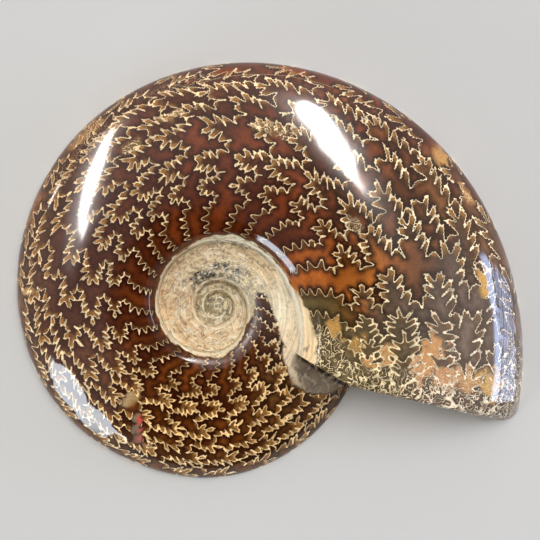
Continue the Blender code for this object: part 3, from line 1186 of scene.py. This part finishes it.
def shell_patch(inner, rows, sutures):
    g, u, triangles = strip(inner, rows, sutures)
    points = finished_position(g, u)
    smooth = shell_position(g, u)
    away, side, chamber, number = sutures.measure(smooth)
    away = np.minimum(away, FAR)
    pocket = pockets(sutures.points[:, :2], sutures.ahead, smooth[:, :2])
    gold = gold_fill(g, u, away, side, pocket)
    skin, glass = skin_mask(g, u, smooth), glass_mask(g, u, smooth)
    tone, vein = stone_tone(g, u, smooth, away, side, chamber)
    tone = mixed(tone, glass_tone(g, smooth), glass)
    tone = mixed(tone, skin_tone(g, u, smooth), skin)
    maze = maze_mask(g, u, smooth) * (1 - glass) * (1 - skin)
    tone, maze, bare = add_patches(tone, maze, g, u, smooth, number)
    thinning = np.sqrt(np.maximum(FULL_WIDTH_RADIUS / section_radius(g, u), 1))
    return {
        "points": points,
        "normals": shell_normal(g, u, finished_position),
        "triangles": triangles,
        "uv": front_map(g, u),
        "tone": np.clip(tone, 0, 1),
        "vein": vein,
        "line": mixed(away * thinning, FAR, np.maximum(glass, bare)),
        "scratch_and_painted_light": scratch_and_highlight_distance(smooth),
        "gold": gold * (1 - glass) * (1 - bare),
        "skin": skin,
        "glass": glass,
        "flat": (rim_facet(g, u) > 0.02) * 1.0,
        "dull": shoulder_dullness(g, u),
        "rough": crumbliness(g, u, smooth),
        "maze": maze,
        "flow": flow(g, u),
        "material": 0,
    }


def unmarked(count):
    """The marks of a patch that has no sutures, scratches, painted highlight, maze or glass."""
    marks = {name: np.zeros(count) for name in ("gold", "skin", "maze", "glass", "flat", "dull")}
    marks["scratch_and_painted_light"] = np.full(count, FAR)
    marks["rough"] = np.ones(count)
    marks["vein"] = np.zeros((count, 3))
    return marks


def core_patch():
    """The cap over the first turns, in the middle of the umbilicus."""
    ring = [(g, 0.0) for g in np.arange(FIRST_TURN, FIRST_TURN + 360, SEAM_STEP)]
    ring += [(FIRST_TURN, u) for u in CORE_U[:-1]]
    ring = np.array(ring)
    edge = shell_position(ring[:, 0], ring[:, 1])
    tree = build_tree(on_plane(edge[:, :2]))
    grid = lattice((-CAP_REACH, -CAP_REACH), (CAP_REACH, CAP_REACH), CAP_GRID)
    near = np.array([tree.find((p[0], p[1], 0))[1] for p in grid])
    reach = np.hypot(edge[near, 0], edge[near, 1])
    inside = np.hypot(*grid.T) < reach - CAP_MARGIN
    grid, near, reach = grid[inside], near[inside], reach[inside]
    rise = np.sqrt(1 - (np.hypot(*grid.T) / reach) ** 2)
    height = edge[near, 2] * (1 - rise) + (edge[:, 2].mean() + CAP_RISE) * rise
    points = np.vstack([edge, np.column_stack([grid, height])])
    tilt = np.column_stack([points[:, :2] * CAP_LEAN, np.ones(len(points))])
    count = len(points)
    from_edge = np.hypot(*points[:, :2].T) - float(np.hypot(*edge[:, :2].T).mean())
    return unmarked(count) | {
        "points": points,
        "normals": tilt / np.linalg.norm(tilt, axis=1)[:, None],
        "triangles": fill(edge[:, :2], grid),
        "uv": points[:, :2],
        "tone": np.tile(linear(CAP_COLOUR), (count, 1)),
        "line": np.full(count, FAR),
        "skin": np.ones(count),
        "flow": np.column_stack([points[:, 0], from_edge, np.zeros(count)]),
        "material": 0,
    }


def cut_lattice(top, low):
    """Lattice points of the cut face, between its edges above and below."""
    grid = lattice(*CUT_BOX, CUT_GRID)
    roof = np.interp(grid[:, 0], top[:, 0], top[:, 1])
    ground = np.interp(grid[:, 0], low[:, 0], low[:, 1], right=0.0)
    clear = (grid[:, 0] > CUT_FIRST) & (grid[:, 0] < top[-1, 0] - CUT_RIM_MARGIN)
    clear &= (grid[:, 1] < roof - CUT_MARGIN) & (grid[:, 1] > ground + CUT_MARGIN)
    return grid[clear]


def cut_patch():
    """The sawn aperture face, upright between the last section and the whorl inside."""
    top_u = APERTURE_U
    low_u = START_U[START_U > SHOWN_0 - 1e-9]
    top = np.column_stack([section_radius(LAST_TURN, top_u), surface_height(LAST_TURN, top_u)])
    low = np.column_stack([section_radius(0.0, low_u), surface_height(0.0, low_u)])
    foot = np.column_stack([FOOT_RADII[1:-1], np.zeros(len(FOOT_RADII) - 2)])
    loop = np.vstack([top, foot[::-1], low[:0:-1]])
    grid = cut_lattice(top, low)
    flat = np.vstack([loop, grid])
    x, y = plan_point(LAST_TURN, flat[:, 0])
    ahead_x, ahead_y = plan_point(LAST_TURN, flat[:, 0] + 0.1)
    along = np.column_stack([ahead_x - x, ahead_y - y]) / 0.1
    walls = build_tree(on_plane(np.vstack([top, low])))
    inward = distance(walls, on_plane(flat))
    points = np.column_stack([x, y, flat[:, 1]])
    count = len(points)
    return unmarked(count) | {
        "points": points,
        "normals": np.column_stack([along[:, 1], -along[:, 0], np.zeros(count)]),
        "triangles": fill(loop, grid),
        "uv": flat,
        "tone": clouded(*CUT_COLOURS, 0.5 + noises(points, CUT_CLOUD)),
        "line": np.minimum(np.abs(inward - CUT_WALL), FAR),
        "flow": points,
        "material": 1,
    }


def base_lines():
    """Cut edges of the whorl walls and septa on the sawn median face, as point rows."""
    lines = []
    g = np.arange(WALLS_START, LAST_TURN, 1.0)
    lines.append(np.column_stack(plan_point(g, base_wall(g) - WALL_DEPTH)))
    start = SEPTA_START
    while start < SEPTA_END:
        inner, outer = float(base_wall(start - 360)), float(base_wall(start))
        t = np.linspace(0, 1, 40)
        bow = SEPTUM_BOW * np.sin(np.pi * t)
        lines.append(np.column_stack(plan_point(start - bow, inner + (outer - inner) * t)))
        start += SEPTUM_STEP + SEPTUM_SWING * math.sin(start)
    return lines


def base_wall(g):
    """Radius of the whorl wall on the median face, winding in to the first chamber."""
    turns = (g - FIRST_TURN) / 360 - 1
    return np.where(turns > 0, venter_radius(g), CORE_WALL * CORE_GROWTH ** turns)


def base_lattice(rim, edge, walls):
    """Lattice points of the sawn median face, clear of its boundary and its walls."""
    coarse = lattice(rim.min(axis=0), rim.max(axis=0), BASE_GRID)
    fine = lattice((-CORE_REACH, -CORE_REACH), (CORE_REACH, CORE_REACH), CORE_GRID)
    fine = fine[np.hypot(*fine.T) < CORE_REACH]
    grid = np.vstack([coarse[np.hypot(*coarse.T) > CORE_REACH + 1], fine])
    polar = np.degrees(np.arctan2(grid[:, 1], grid[:, 0]))
    reach = np.hypot(*grid.T)
    lean = np.degrees(np.arcsin(SWING / np.maximum(reach, VENTER_RADII[0])))
    growth = (CUT_HEADING - polar - lean) % 360
    keep = reach < venter_radius(growth) - BASE_MARGIN
    keep &= distance(edge, on_plane(grid)) > BASE_MARGIN
    beside = np.where(reach < CORE_REACH, CORE_MARGIN, WALL_MARGIN)
    return grid[keep & (distance(walls, on_plane(grid)) > beside)]


def base_patch():
    """The sawn median face that the fossil lies on, with its walls and chambers."""
    rim = shell_position(RIM_GROWTH, np.ones(len(RIM_GROWTH)))[:, :2]
    foot = np.column_stack(plan_point(LAST_TURN, FOOT_RADII))[::-1]
    loop = np.vstack([rim, foot[1:-1]])
    spots = np.vstack([resample(line, WALL_STEP)[0] for line in base_lines()])
    edge = build_tree(on_plane(loop))
    walls = build_tree(on_plane(spots))
    spots = spots[distance(edge, on_plane(spots)) > WALL_STEP]
    inside = np.vstack([spots, base_lattice(rim, edge, walls)])
    points = on_plane(np.vstack([loop, inside]))
    count = len(points)
    thin = np.maximum(CORE_REACH / (np.hypot(*points[:, :2].T) + 3), 1)
    return unmarked(count) | {
        "points": points,
        "normals": np.tile([0, 0, -1.0], (count, 1)),
        "triangles": fill(loop, inside)[:, ::-1],
        "uv": points[:, :2] * [-1, 1],
        "tone": clouded(*BASE_COLOURS, 0.5 + noises(points, BASE_CLOUD)),
        "line": np.minimum(distance(walls, points) * thin, FAR),
        "flow": points,
        "material": 1,
    }


# ---------------------------------------------------------------- UV layout

MAP_MARGIN = 0.006
FRONT_WIDTH = 0.88
BASE_HEIGHT = 0.20


def fitted(uv, low, scale):
    """The UV points moved so that their lowest corner is at low, and scaled."""
    return (uv - uv.min(axis=0)) * scale + low


def lay_out(front, core, cut, base):
    """Share out the UV square: the front below, the sawn faces in a band above it."""
    joined = np.vstack([patch["uv"] for patch in front + [core]])
    size = joined.max(axis=0) - joined.min(axis=0)
    scale = FRONT_WIDTH / size[0]
    for patch in front + [core]:
        patch["uv"] = (patch["uv"] - joined.min(axis=0)) * scale + MAP_MARGIN
    top = size[1] * scale + 3 * MAP_MARGIN
    base_size = base["uv"].max(axis=0) - base["uv"].min(axis=0)
    base_scale = min(BASE_HEIGHT, 1 - top - MAP_MARGIN) / base_size[1]
    base["uv"] = fitted(base["uv"], np.array([MAP_MARGIN, top]), base_scale)
    cut["uv"] = fitted(cut["uv"], np.array([base["uv"][:, 0].max() + 3 * MAP_MARGIN, top]), scale)


# ---------------------------------------------------------------- making the mesh object

def facing(patch):
    """The patch's triangles, each wound so that it faces along its normals."""
    tri = patch["triangles"]
    a, b, c = (patch["points"][tri[:, k]] for k in range(3))
    out = np.einsum("ij,ij->i", np.cross(b - a, c - a), patch["normals"][tri].sum(axis=1))
    return np.where((out < 0)[:, None], tri[:, ::-1], tri)


def join(patches):
    """One closed mesh from the patches, which share the points along their edges."""
    points = np.vstack([patch["points"] for patch in patches])
    key = np.round(points / 0.002).astype(np.int64)
    first, same = np.unique(key, axis=0, return_index=True, return_inverse=True)[1:]
    same = same.reshape(-1)
    start = np.cumsum([0] + [len(patch["points"]) for patch in patches])
    triangles = [facing(patch) + offset for patch, offset in zip(patches, start)]
    material = np.concatenate([[p["material"]] * len(p["triangles"]) for p in patches])
    corners = np.vstack(triangles)
    merged = same[corners]
    whole = (merged[:, 0] != merged[:, 1]) & (merged[:, 1] != merged[:, 2])
    whole &= merged[:, 2] != merged[:, 0]
    return points[first], merged[whole], corners[whole], material[whole]


def write_corners(mesh, name, kind, field, values):
    made = mesh.attributes.new(name, kind, "CORNER")
    made.data.foreach_set(field, np.ascontiguousarray(values, np.float32).ravel())


def make_fossil(patches, materials):
    points, faces, corners, material = join(patches)
    mesh = bpy.data.meshes.new("ammonite_surface")
    mesh.from_pydata((points * MM).tolist(), [], faces.tolist())
    for made in materials:
        mesh.materials.append(made)
    mesh.polygons.foreach_set("material_index", material.astype(np.int32))
    mesh.polygons.foreach_set("use_smooth", np.ones(len(faces), bool))
    flat = corners.ravel()
    for name in ("line", "gold", "skin", "maze", "glass", "flat", "dull", "rough", "scratch_and_painted_light"):
        values = np.concatenate([patch[name] for patch in patches])[flat]
        write_corners(mesh, name, "FLOAT", "value", values)
    rows = {
        name: np.vstack([patch[name] for patch in patches])[flat]
        for name in ("flow", "tone", "vein", "uv", "normals")
    }
    write_corners(mesh, "flow", "FLOAT_VECTOR", "vector", rows["flow"])
    opaque = np.ones(len(flat))
    for name in ("tone", "vein"):
        write_corners(mesh, name, "FLOAT_COLOR", "color", np.column_stack([rows[name], opaque]))
    uv = mesh.uv_layers.new(name="OFBake")
    uv.data.foreach_set("uv", rows["uv"].astype(np.float32).ravel())
    mesh.normals_split_custom_set(rows["normals"].tolist())
    mesh.update()
    piece = bpy.data.objects.new("ammonite_surface", mesh)
    bpy.context.collection.objects.link(piece)
    return piece


def fit_into_box(piece, box):
    """Move the piece so that it fills the CAD solid's box, and keep it within it."""
    low, high = np.array(box[0]), np.array(box[1])
    points = np.array([v.co for v in piece.data.vertices])
    points[:, :2] += (low + high)[:2] / 2 - (points.min(axis=0) + points.max(axis=0))[:2] / 2
    points[:, 2] += low[2] - points[:, 2].min()
    points = np.clip(points, low + 1e-6, high - 1e-6)
    piece.data.vertices.foreach_set("co", points.astype(np.float32).ravel())
    piece.data.update()


# ---------------------------------------------------------------- materials

# Sockets of a colour mixing node: its factor, both colours, and its result.
MIX_FACTOR, MIX_A, MIX_B, MIX_RESULT = 0, 6, 7, 2


class Nodes:
    """Short calls for adding and wiring the nodes of a material or a world."""

    def __init__(self, owner, end):
        owner.use_nodes = True
        self.owner = owner
        self.tree = owner.node_tree
        self.shader = self.tree.nodes[end]

    def add(self, kind, **settings):
        node = self.tree.nodes.new(kind)
        for name, value in settings.items():
            setattr(node, name, value)
        return node

    def wire(self, source, socket):
        self.tree.links.new(source, socket)

    def put(self, socket, value):
        if isinstance(value, bpy.types.NodeSocket):
            self.wire(value, socket)
        else:
            socket.default_value = value

    def attribute(self, name, output="Fac"):
        return self.add("ShaderNodeAttribute", attribute_name=name).outputs[output]

    def noise(self, scale, detail=3.0, roughness=0.55, distortion=0.0, where=None):
        """Noise of the given size in mm, from 0 to 1 around 0.5."""
        node = self.add("ShaderNodeTexNoise")
        unit = MM if where is None else 1.0
        where = where or self.add("ShaderNodeTexCoord").outputs["Object"]
        self.wire(where, node.inputs["Vector"])
        node.inputs["Scale"].default_value = 1 / (scale * unit)
        node.inputs["Detail"].default_value = detail
        node.inputs["Roughness"].default_value = roughness
        node.inputs["Distortion"].default_value = distortion
        return node.outputs["Fac"]

    def stretched(self, name, scale):
        """The named vector attribute with its axes scaled."""
        node = self.add("ShaderNodeVectorMath", operation="MULTIPLY")
        self.wire(self.attribute(name, "Vector"), node.inputs[0])
        node.inputs[1].default_value = scale
        return node.outputs[0]

    def part(self, name, axis):
        """One component of the named vector attribute."""
        node = self.add("ShaderNodeSeparateXYZ")
        self.wire(self.attribute(name, "Vector"), node.inputs[0])
        return node.outputs[axis]

    def ramp(self, value, low, high, start=0.0, end=1.0):
        """Smooth change from start to end as value goes from low to high."""
        node = self.add("ShaderNodeMapRange", interpolation_type="SMOOTHSTEP")
        for socket, number in zip(node.inputs, (value, low, high, start, end)):
            self.put(socket, number)
        return node.outputs["Result"]

    def math(self, operation, a, b=0.0):
        node = self.add("ShaderNodeMath", operation=operation)
        self.put(node.inputs[0], a)
        self.put(node.inputs[1], b)
        return node.outputs[0]

    def mix(self, factor, a, b):
        node = self.add("ShaderNodeMix", data_type="RGBA")
        self.put(node.inputs[MIX_FACTOR], factor)
        self.put(node.inputs[MIX_A], a)
        self.put(node.inputs[MIX_B], b)
        return node.outputs[MIX_RESULT]

    def scaled(self, colour, factor):
        node = self.add("ShaderNodeVectorMath", operation="SCALE")
        self.wire(colour, node.inputs[0])
        self.put(node.inputs["Scale"], factor)
        return node.outputs[0]

    def bump(self, height, depth):
        node = self.add("ShaderNodeBump")
        node.inputs["Distance"].default_value = depth * MM
        self.wire(height, node.inputs["Height"])
        self.wire(node.outputs["Normal"], self.shader.inputs["Normal"])


def material_nodes(name):
    return Nodes(bpy.data.materials.new(name), "Principled BSDF")


def rgba(colour):
    return (*linear(colour), 1.0)


def maze_lines(n):
    """Contours of a crimped noise field: a fine maze of closed, scalloped lines."""
    field = n.math("ADD", n.noise(3.4, 1.0), n.math("MULTIPLY", n.noise(0.9, 1.0), 0.20))
    wave = n.math("SINE", n.math("MULTIPLY", field, 22.0))
    return n.ramp(n.math("ABSOLUTE", wave), 0.50, 0.12)


def glass_veins(n):
    """Pale healed cracks that part the glassy stone into cells."""
    cells = n.add("ShaderNodeTexVoronoi", feature="DISTANCE_TO_EDGE")
    n.wire(n.add("ShaderNodeTexCoord").outputs["Object"], cells.inputs["Vector"])
    cells.inputs["Scale"].default_value = 1 / (4.6 * MM)
    vein = n.ramp(cells.outputs["Distance"], 0.10, 0.02)
    return n.math("MULTIPLY", vein, n.ramp(n.noise(1.6), 0.40, 0.60, 0.0, 0.75))


def suture_lines(n, away):
    fray = n.math("MULTIPLY", n.math("SUBTRACT", n.noise(0.5, 2.0), 0.5), 0.16)
    line = n.ramp(n.math("ADD", away, fray), 0.18, 0.05)
    return n.math("MULTIPLY", line, n.ramp(n.noise(1.3), 0.25, 0.5, 0.6, 1.0))


def flaking_skin(n, tone):
    """Chalky layers with cream flakes, strokes and furrows, and earth in the pits."""
    flakes = n.ramp(n.noise(3.6, 7.0, 0.68, 2.2), 0.50, 0.54, 0.0, 0.95)
    pits = n.ramp(n.noise(1.9, 7.0, 0.85, 1.0), 0.48, 0.42)
    streaks = n.noise(1.0, 5.0, 0.7, 0.8, where=n.stretched("flow", (0.20, 0.9, 1.0)))
    strokes = n.ramp(streaks, 0.54, 0.58, 0.0, 0.85)
    furrows = n.ramp(streaks, 0.46, 0.42, 0.0, 0.5)
    silver = n.ramp(n.noise(4.0, 4.0, 0.6, 0.5), 0.58, 0.66, 0.0, 0.5)
    skin = n.mix(flakes, n.mix(silver, tone, rgba(SILVER)), rgba(CREAM))
    skin = n.mix(furrows, n.mix(strokes, skin, rgba(CHALK)), n.scaled(tone, 0.62))
    return n.mix(pits, skin, n.scaled(tone, 0.42))


def marked_skin(n, skin):
    """The skin with dark specks, and with pale scratches that each have a band of painted shadow
    beside them.
    """
    grains = n.ramp(n.noise(0.9, 4.0, 0.8, 0.8), 0.49, 0.53)
    skin = n.mix(n.math("MULTIPLY", n.attribute("maze"), grains), skin, rgba(SPECK))
    kept = n.ramp(n.noise(1.6, 4.0, 0.7), 0.44, 0.54)
    # A band of painted shadow round each scratch, then its pale middle.
    for near, inner, strength, colour in ((0.50, 0.20, 0.45, PAINTED_SHADE), (0.22, 0.05, 1.0, CHALK)):
        scratch_and_painted_light = n.ramp(n.attribute("scratch_and_painted_light"), near, inner, 0.0, strength)
        skin = n.mix(n.math("MULTIPLY", scratch_and_painted_light, kept), skin, rgba(colour))
    return skin


def seamed_skin(n, skin):
    """The skin with a pale lip, and painted shade in the crease along the seam of each whorl."""
    across = n.part("flow", 1)
    gaps = n.noise(2.6, 4.0, 0.6, 0.5)
    lip = n.ramp(n.math("ABSOLUTE", n.math("SUBTRACT", across, 0.85)), 0.36, 0.14)
    lip = n.math("MULTIPLY", lip, n.ramp(gaps, 0.36, 0.50, 0.25, 0.95))
    # Painted shade in the crease of the seam.
    seam_shade = n.ramp(n.math("ABSOLUTE", across), 0.45, 0.08)
    seam_shade = n.math("MULTIPLY", seam_shade, n.ramp(gaps, 0.42, 0.58, 0.0, 0.45))
    return n.mix(seam_shade, n.mix(lip, skin, rgba(CHALK)), rgba(PAINTED_SHADE))


def skin_colour(n):
    """Colour of the pale skin: smooth where it isn't rough, with painted shade along its seams
    everywhere.
    """
    layers = n.noise(1.0, 3.0, 0.6, where=n.stretched("flow", (0.10, 1.6, 1.0)))
    shade = n.ramp(layers, 0.32, 0.68, 0.74, 1.18)
    tone = n.scaled(n.attribute("tone", "Color"), shade)
    rough = marked_skin(n, flaking_skin(n, tone))
    return seamed_skin(n, n.mix(n.attribute("rough"), tone, rough))


def polished_colour(n):
    """Brown and amber stone with cream sutures, gold in their lobes, maze and glass."""
    away = n.attribute("line")
    grain = n.ramp(n.noise(0.7, 4.0, 0.65), 0.3, 0.7, 0.84, 1.16)
    stone = n.scaled(n.attribute("tone", "Color"), grain)
    gold_colour = n.mix(n.ramp(away, 1.1, 0.15), rgba(BROWN_GOLD), rgba(GOLD))
    gold = n.math("MULTIPLY", n.attribute("gold"), n.ramp(n.noise(1.4), 0.3, 0.6, 0.55, 1.0))
    glow = n.ramp(n.noise(2.2, 2.0), 0.35, 0.65, 0.82, 1.65)
    line_colour = n.scaled(n.attribute("vein", "Color"), glow)
    maze = n.math("MULTIPLY", n.attribute("maze"), maze_lines(n))
    lines = n.math("MAXIMUM", suture_lines(n, away), n.ramp(maze, 0.2, 0.7, 0.0, 0.88))
    lines = n.math("MAXIMUM", lines, n.math("MULTIPLY", n.attribute("glass"), glass_veins(n)))
    line_colour = n.mix(n.attribute("glass"), line_colour, rgba(GLASS_VEIN))
    polished = n.mix(lines, n.mix(gold, stone, gold_colour), line_colour)
    # Pale scratches in cream, and the painted highlight along the edge of the band polished along
    # the rim.
    return n.mix(n.ramp(n.attribute("scratch_and_painted_light"), 0.20, 0.05, 0.0, 0.6), polished, rgba(CREAM))


def grained_height(n, skin):
    """Height of the fine grain on the rough skin and of the strokes on the ground flat."""
    layers = n.noise(1.0, 4.0, 0.6, where=n.stretched("flow", (0.30, 1.6, 1.0)))
    rough = n.math("MULTIPLY", n.math("ADD", n.noise(0.8, 5.0, 0.7, 0.6), layers), skin)
    rough = n.math("MULTIPLY", rough, n.attribute("rough"))
    strokes = n.noise(1.0, 3.0, 0.6, where=n.stretched("flow", (0.06, 1.3, 1.0)))
    strokes = n.math("MULTIPLY", strokes, n.math("MULTIPLY", n.attribute("flat"), 0.8))
    return n.math("ADD", rough, strokes)


def fossil_material():
    """Polished brown stone with cream sutures, and pale chalky skin in the umbilicus."""
    n = material_nodes("polished_fossil")
    skin = n.ramp(n.attribute("skin"), 0.35, 0.65)
    n.wire(n.mix(skin, polished_colour(n), skin_colour(n)), n.shader.inputs["Base Color"])
    dulled = n.ramp(n.attribute("dull"), 0.0, 1.0, 0.10, 0.40)
    roughness = n.math("MAXIMUM", n.ramp(skin, 0.0, 1.0, 0.10, 0.55), dulled)
    n.wire(roughness, n.shader.inputs["Roughness"])
    n.bump(grained_height(n, skin), 0.20)
    n.shader.inputs["IOR"].default_value = 1.5
    return n.owner


def sawn_material():
    """Sawn stone: mineral-filled chambers between pale walls, with fine saw marks."""
    n = material_nodes("sawn_fossil")
    wall = n.ramp(n.attribute("line"), 0.75, 0.45)
    grain = n.ramp(n.noise(0.9, 4.0, 0.65), 0.3, 0.7, 0.8, 1.2)
    stone = n.scaled(n.attribute("tone", "Color"), grain)
    n.wire(n.mix(wall, stone, rgba(SAWN_WALL)), n.shader.inputs["Base Color"])
    n.shader.inputs["Roughness"].default_value = 0.38
    n.bump(n.noise(0.6, 3.0), 0.04)
    return n.owner


# ---------------------------------------------------------------- floor, light and camera

# The camera's height in m, the width in mm that it sees on the floor, and the lamps'
# distance in m.
CAMERA_HEIGHT = 2.4
VIEW_WIDTH = 160.4
SENSOR_WIDTH = 36
LAMP_DISTANCE = 1.2
# Lamps seen in the polish: azimuth and elevation of both ends, width in m, brightness (1 is
# a white surface's), colour. The strips are ellipses and don't light the stone.
LAMPS = [
    ("strip_left", (129.5, 12), (167, 52), 0.13, 30, (1.0, 0.98, 0.95)),
    ("strip_right", (77, 22), (55, 61), 0.165, 30, (1.0, 0.99, 0.97)),
    ("strip_rim", (150, 4), (158, 4), 0.045, 20, (1.0, 0.98, 0.95)),
    ("window_left", (-118, 11), (-154, 11), 0.24, 13, (0.80, 0.90, 1.0)),
    ("window_right", (20, 8), (-12, 8), 0.20, 16, (0.50, 0.66, 1.0)),
]
# A soft fill from above lights the stone and isn't seen in the polish.
FILL_SIZE = 1.0
FILL_LEVEL = 0.80
FILL_LEAN = 0.25
# The room around: towards which azimuth, from and up to how far round it, brightness.
ROOM_SIDES = [(155, 0.10, 0.14, 0.30), (125, 0.25, 0.60, 0.35), (20, 0.25, 0.60, 0.36)]
ROOM_TOP = 0.02
ROOM_COLOUR = (1.0, 0.96, 0.94, 1.0)
# Soft glow around the strips: azimuth and elevation of both ends, half width, brightness.
HALOS = [((131, 12), (165, 50), 0.20, 4.6), ((77, 22), (56, 60), 0.20, 4.0)]
HALO_CORE = 0.8
FLOOR_SIZE = 6
FLOOR_COLOUR = (214, 212, 208)


def direction(azimuth, elevation):
    a, e = math.radians(azimuth), math.radians(elevation)
    return Vector((math.cos(a) * math.cos(e), math.sin(a) * math.cos(e), math.sin(e)))


def lamp(name, start, end, width, brightness, colour):
    """A lamp that spans two directions from the fossil and faces it."""
    first = direction(*start) * LAMP_DISTANCE
    last = direction(*end) * LAMP_DISTANCE
    light = bpy.data.lights.new(name, "AREA")
    light.shape = "RECTANGLE"
    light.size = width
    light.size_y = (last - first).length
    light.energy = brightness * math.pi * light.size * light.size_y
    light.color = colour
    along = (last - first).normalized()
    back = (first + last) / 2
    back = (back - along * back.dot(along)).normalized()
    across = along.cross(back)
    thing = bpy.data.objects.new(name, light)
    thing.matrix_world = Matrix.Translation((first + last) / 2) @ Matrix(
        (across, along, back)
    ).transposed().to_4x4()
    bpy.context.collection.objects.link(thing)
    return thing


def make_lamps():
    """Strips and windows that show in the polish, and a soft fill that doesn't."""
    for name, start, end, width, brightness, colour in LAMPS:
        thing = lamp(name, start, end, width, brightness, colour)
        if name.startswith("strip"):
            thing.data.shape = "ELLIPSE"
            thing.visible_diffuse = False
    fill = bpy.data.lights.new("fill", "AREA")
    fill.size = FILL_SIZE
    fill.energy = FILL_LEVEL * math.pi ** 2 * LAMP_DISTANCE ** 2
    thing = bpy.data.objects.new("fill", fill)
    thing.location = Vector((FILL_LEAN, FILL_LEAN, 1)) * LAMP_DISTANCE
    thing.rotation_euler = thing.location.to_track_quat("Z", "Y").to_euler()
    thing.visible_glossy = False
    bpy.context.collection.objects.link(thing)


def make_floor():
    bpy.ops.mesh.primitive_plane_add(size=FLOOR_SIZE)
    floor = bpy.context.object
    floor.name = "floor"
    n = material_nodes("floor_pale")
    n.shader.inputs["Base Color"].default_value = rgba(FLOOR_COLOUR)
    n.shader.inputs["Roughness"].default_value = 0.9
    n.shader.inputs["Specular IOR Level"].default_value = 0.0
    floor.data.materials.append(n.owner)


def closeness(n, axis):
    """Cosine of the angle between the direction looked in and an axis."""
    node = n.add("ShaderNodeVectorMath", operation="DOT_PRODUCT")
    n.wire(n.add("ShaderNodeTexCoord").outputs["Generated"], node.inputs[0])
    node.inputs[1].default_value = axis
    return node.outputs["Value"]


def halo(n, start, end, width, brightness):
    """Soft band of light round the arc between two directions."""
    first, last = direction(*start), direction(*end)
    aside = n.math("ABSOLUTE", closeness(n, first.cross(last).normalized()))
    half = first.angle(last) / 2
    ahead = closeness(n, (first + last).normalized())
    along = n.ramp(ahead, math.cos(half + width), math.cos(half * HALO_CORE))
    return n.math("MULTIPLY", n.ramp(aside, width, 0.0, 0.0, brightness), along)


def make_world():
    """A dim room, brighter to some sides, with halos that only the polish shows."""
    n = Nodes(bpy.data.worlds.new("room"), "Background")
    level = ROOM_TOP
    for azimuth, start, end, brightness in ROOM_SIDES:
        side = n.ramp(closeness(n, direction(azimuth, 0)), start, end, 0.0, brightness)
        level = n.math("ADD", side, level)
    in_gloss = n.add("ShaderNodeLightPath").outputs["Is Glossy Ray"]
    for start, end, width, brightness in HALOS:
        shown = n.math("MULTIPLY", halo(n, start, end, width, brightness), in_gloss)
        level = n.math("ADD", level, shown)
    n.shader.inputs["Color"].default_value = ROOM_COLOUR
    n.wire(level, n.shader.inputs["Strength"])
    bpy.context.scene.world = n.owner


def make_camera():
    camera = bpy.data.cameras.new("camera")
    camera.sensor_width = SENSOR_WIDTH
    camera.lens = SENSOR_WIDTH * CAMERA_HEIGHT / (VIEW_WIDTH * MM)
    camera.clip_end = 20
    thing = bpy.data.objects.new("camera", camera)
    thing.location = (0, 0, CAMERA_HEIGHT)
    bpy.context.collection.objects.link(thing)
    bpy.context.scene.camera = thing


def main():
    lines = all_sutures()
    rows = suture_rows(lines + scratch_and_highlight_lines())
    sutures = Sutures(lines)
    front = [shell_patch(inner, rows, sutures) for inner in (False, True)]
    core, cut, base = core_patch(), cut_patch(), base_patch()
    lay_out(front, core, cut, base)
    piece = make_fossil(front + [core, cut, base], [fossil_material(), sawn_material()])
    fit_into_box(piece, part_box(NODE))
    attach(piece, "root")
    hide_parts(NODE)
    make_floor()
    make_world()
    make_lamps()
    make_camera()
    bpy.context.scene.view_settings.view_transform = "Standard"


main()
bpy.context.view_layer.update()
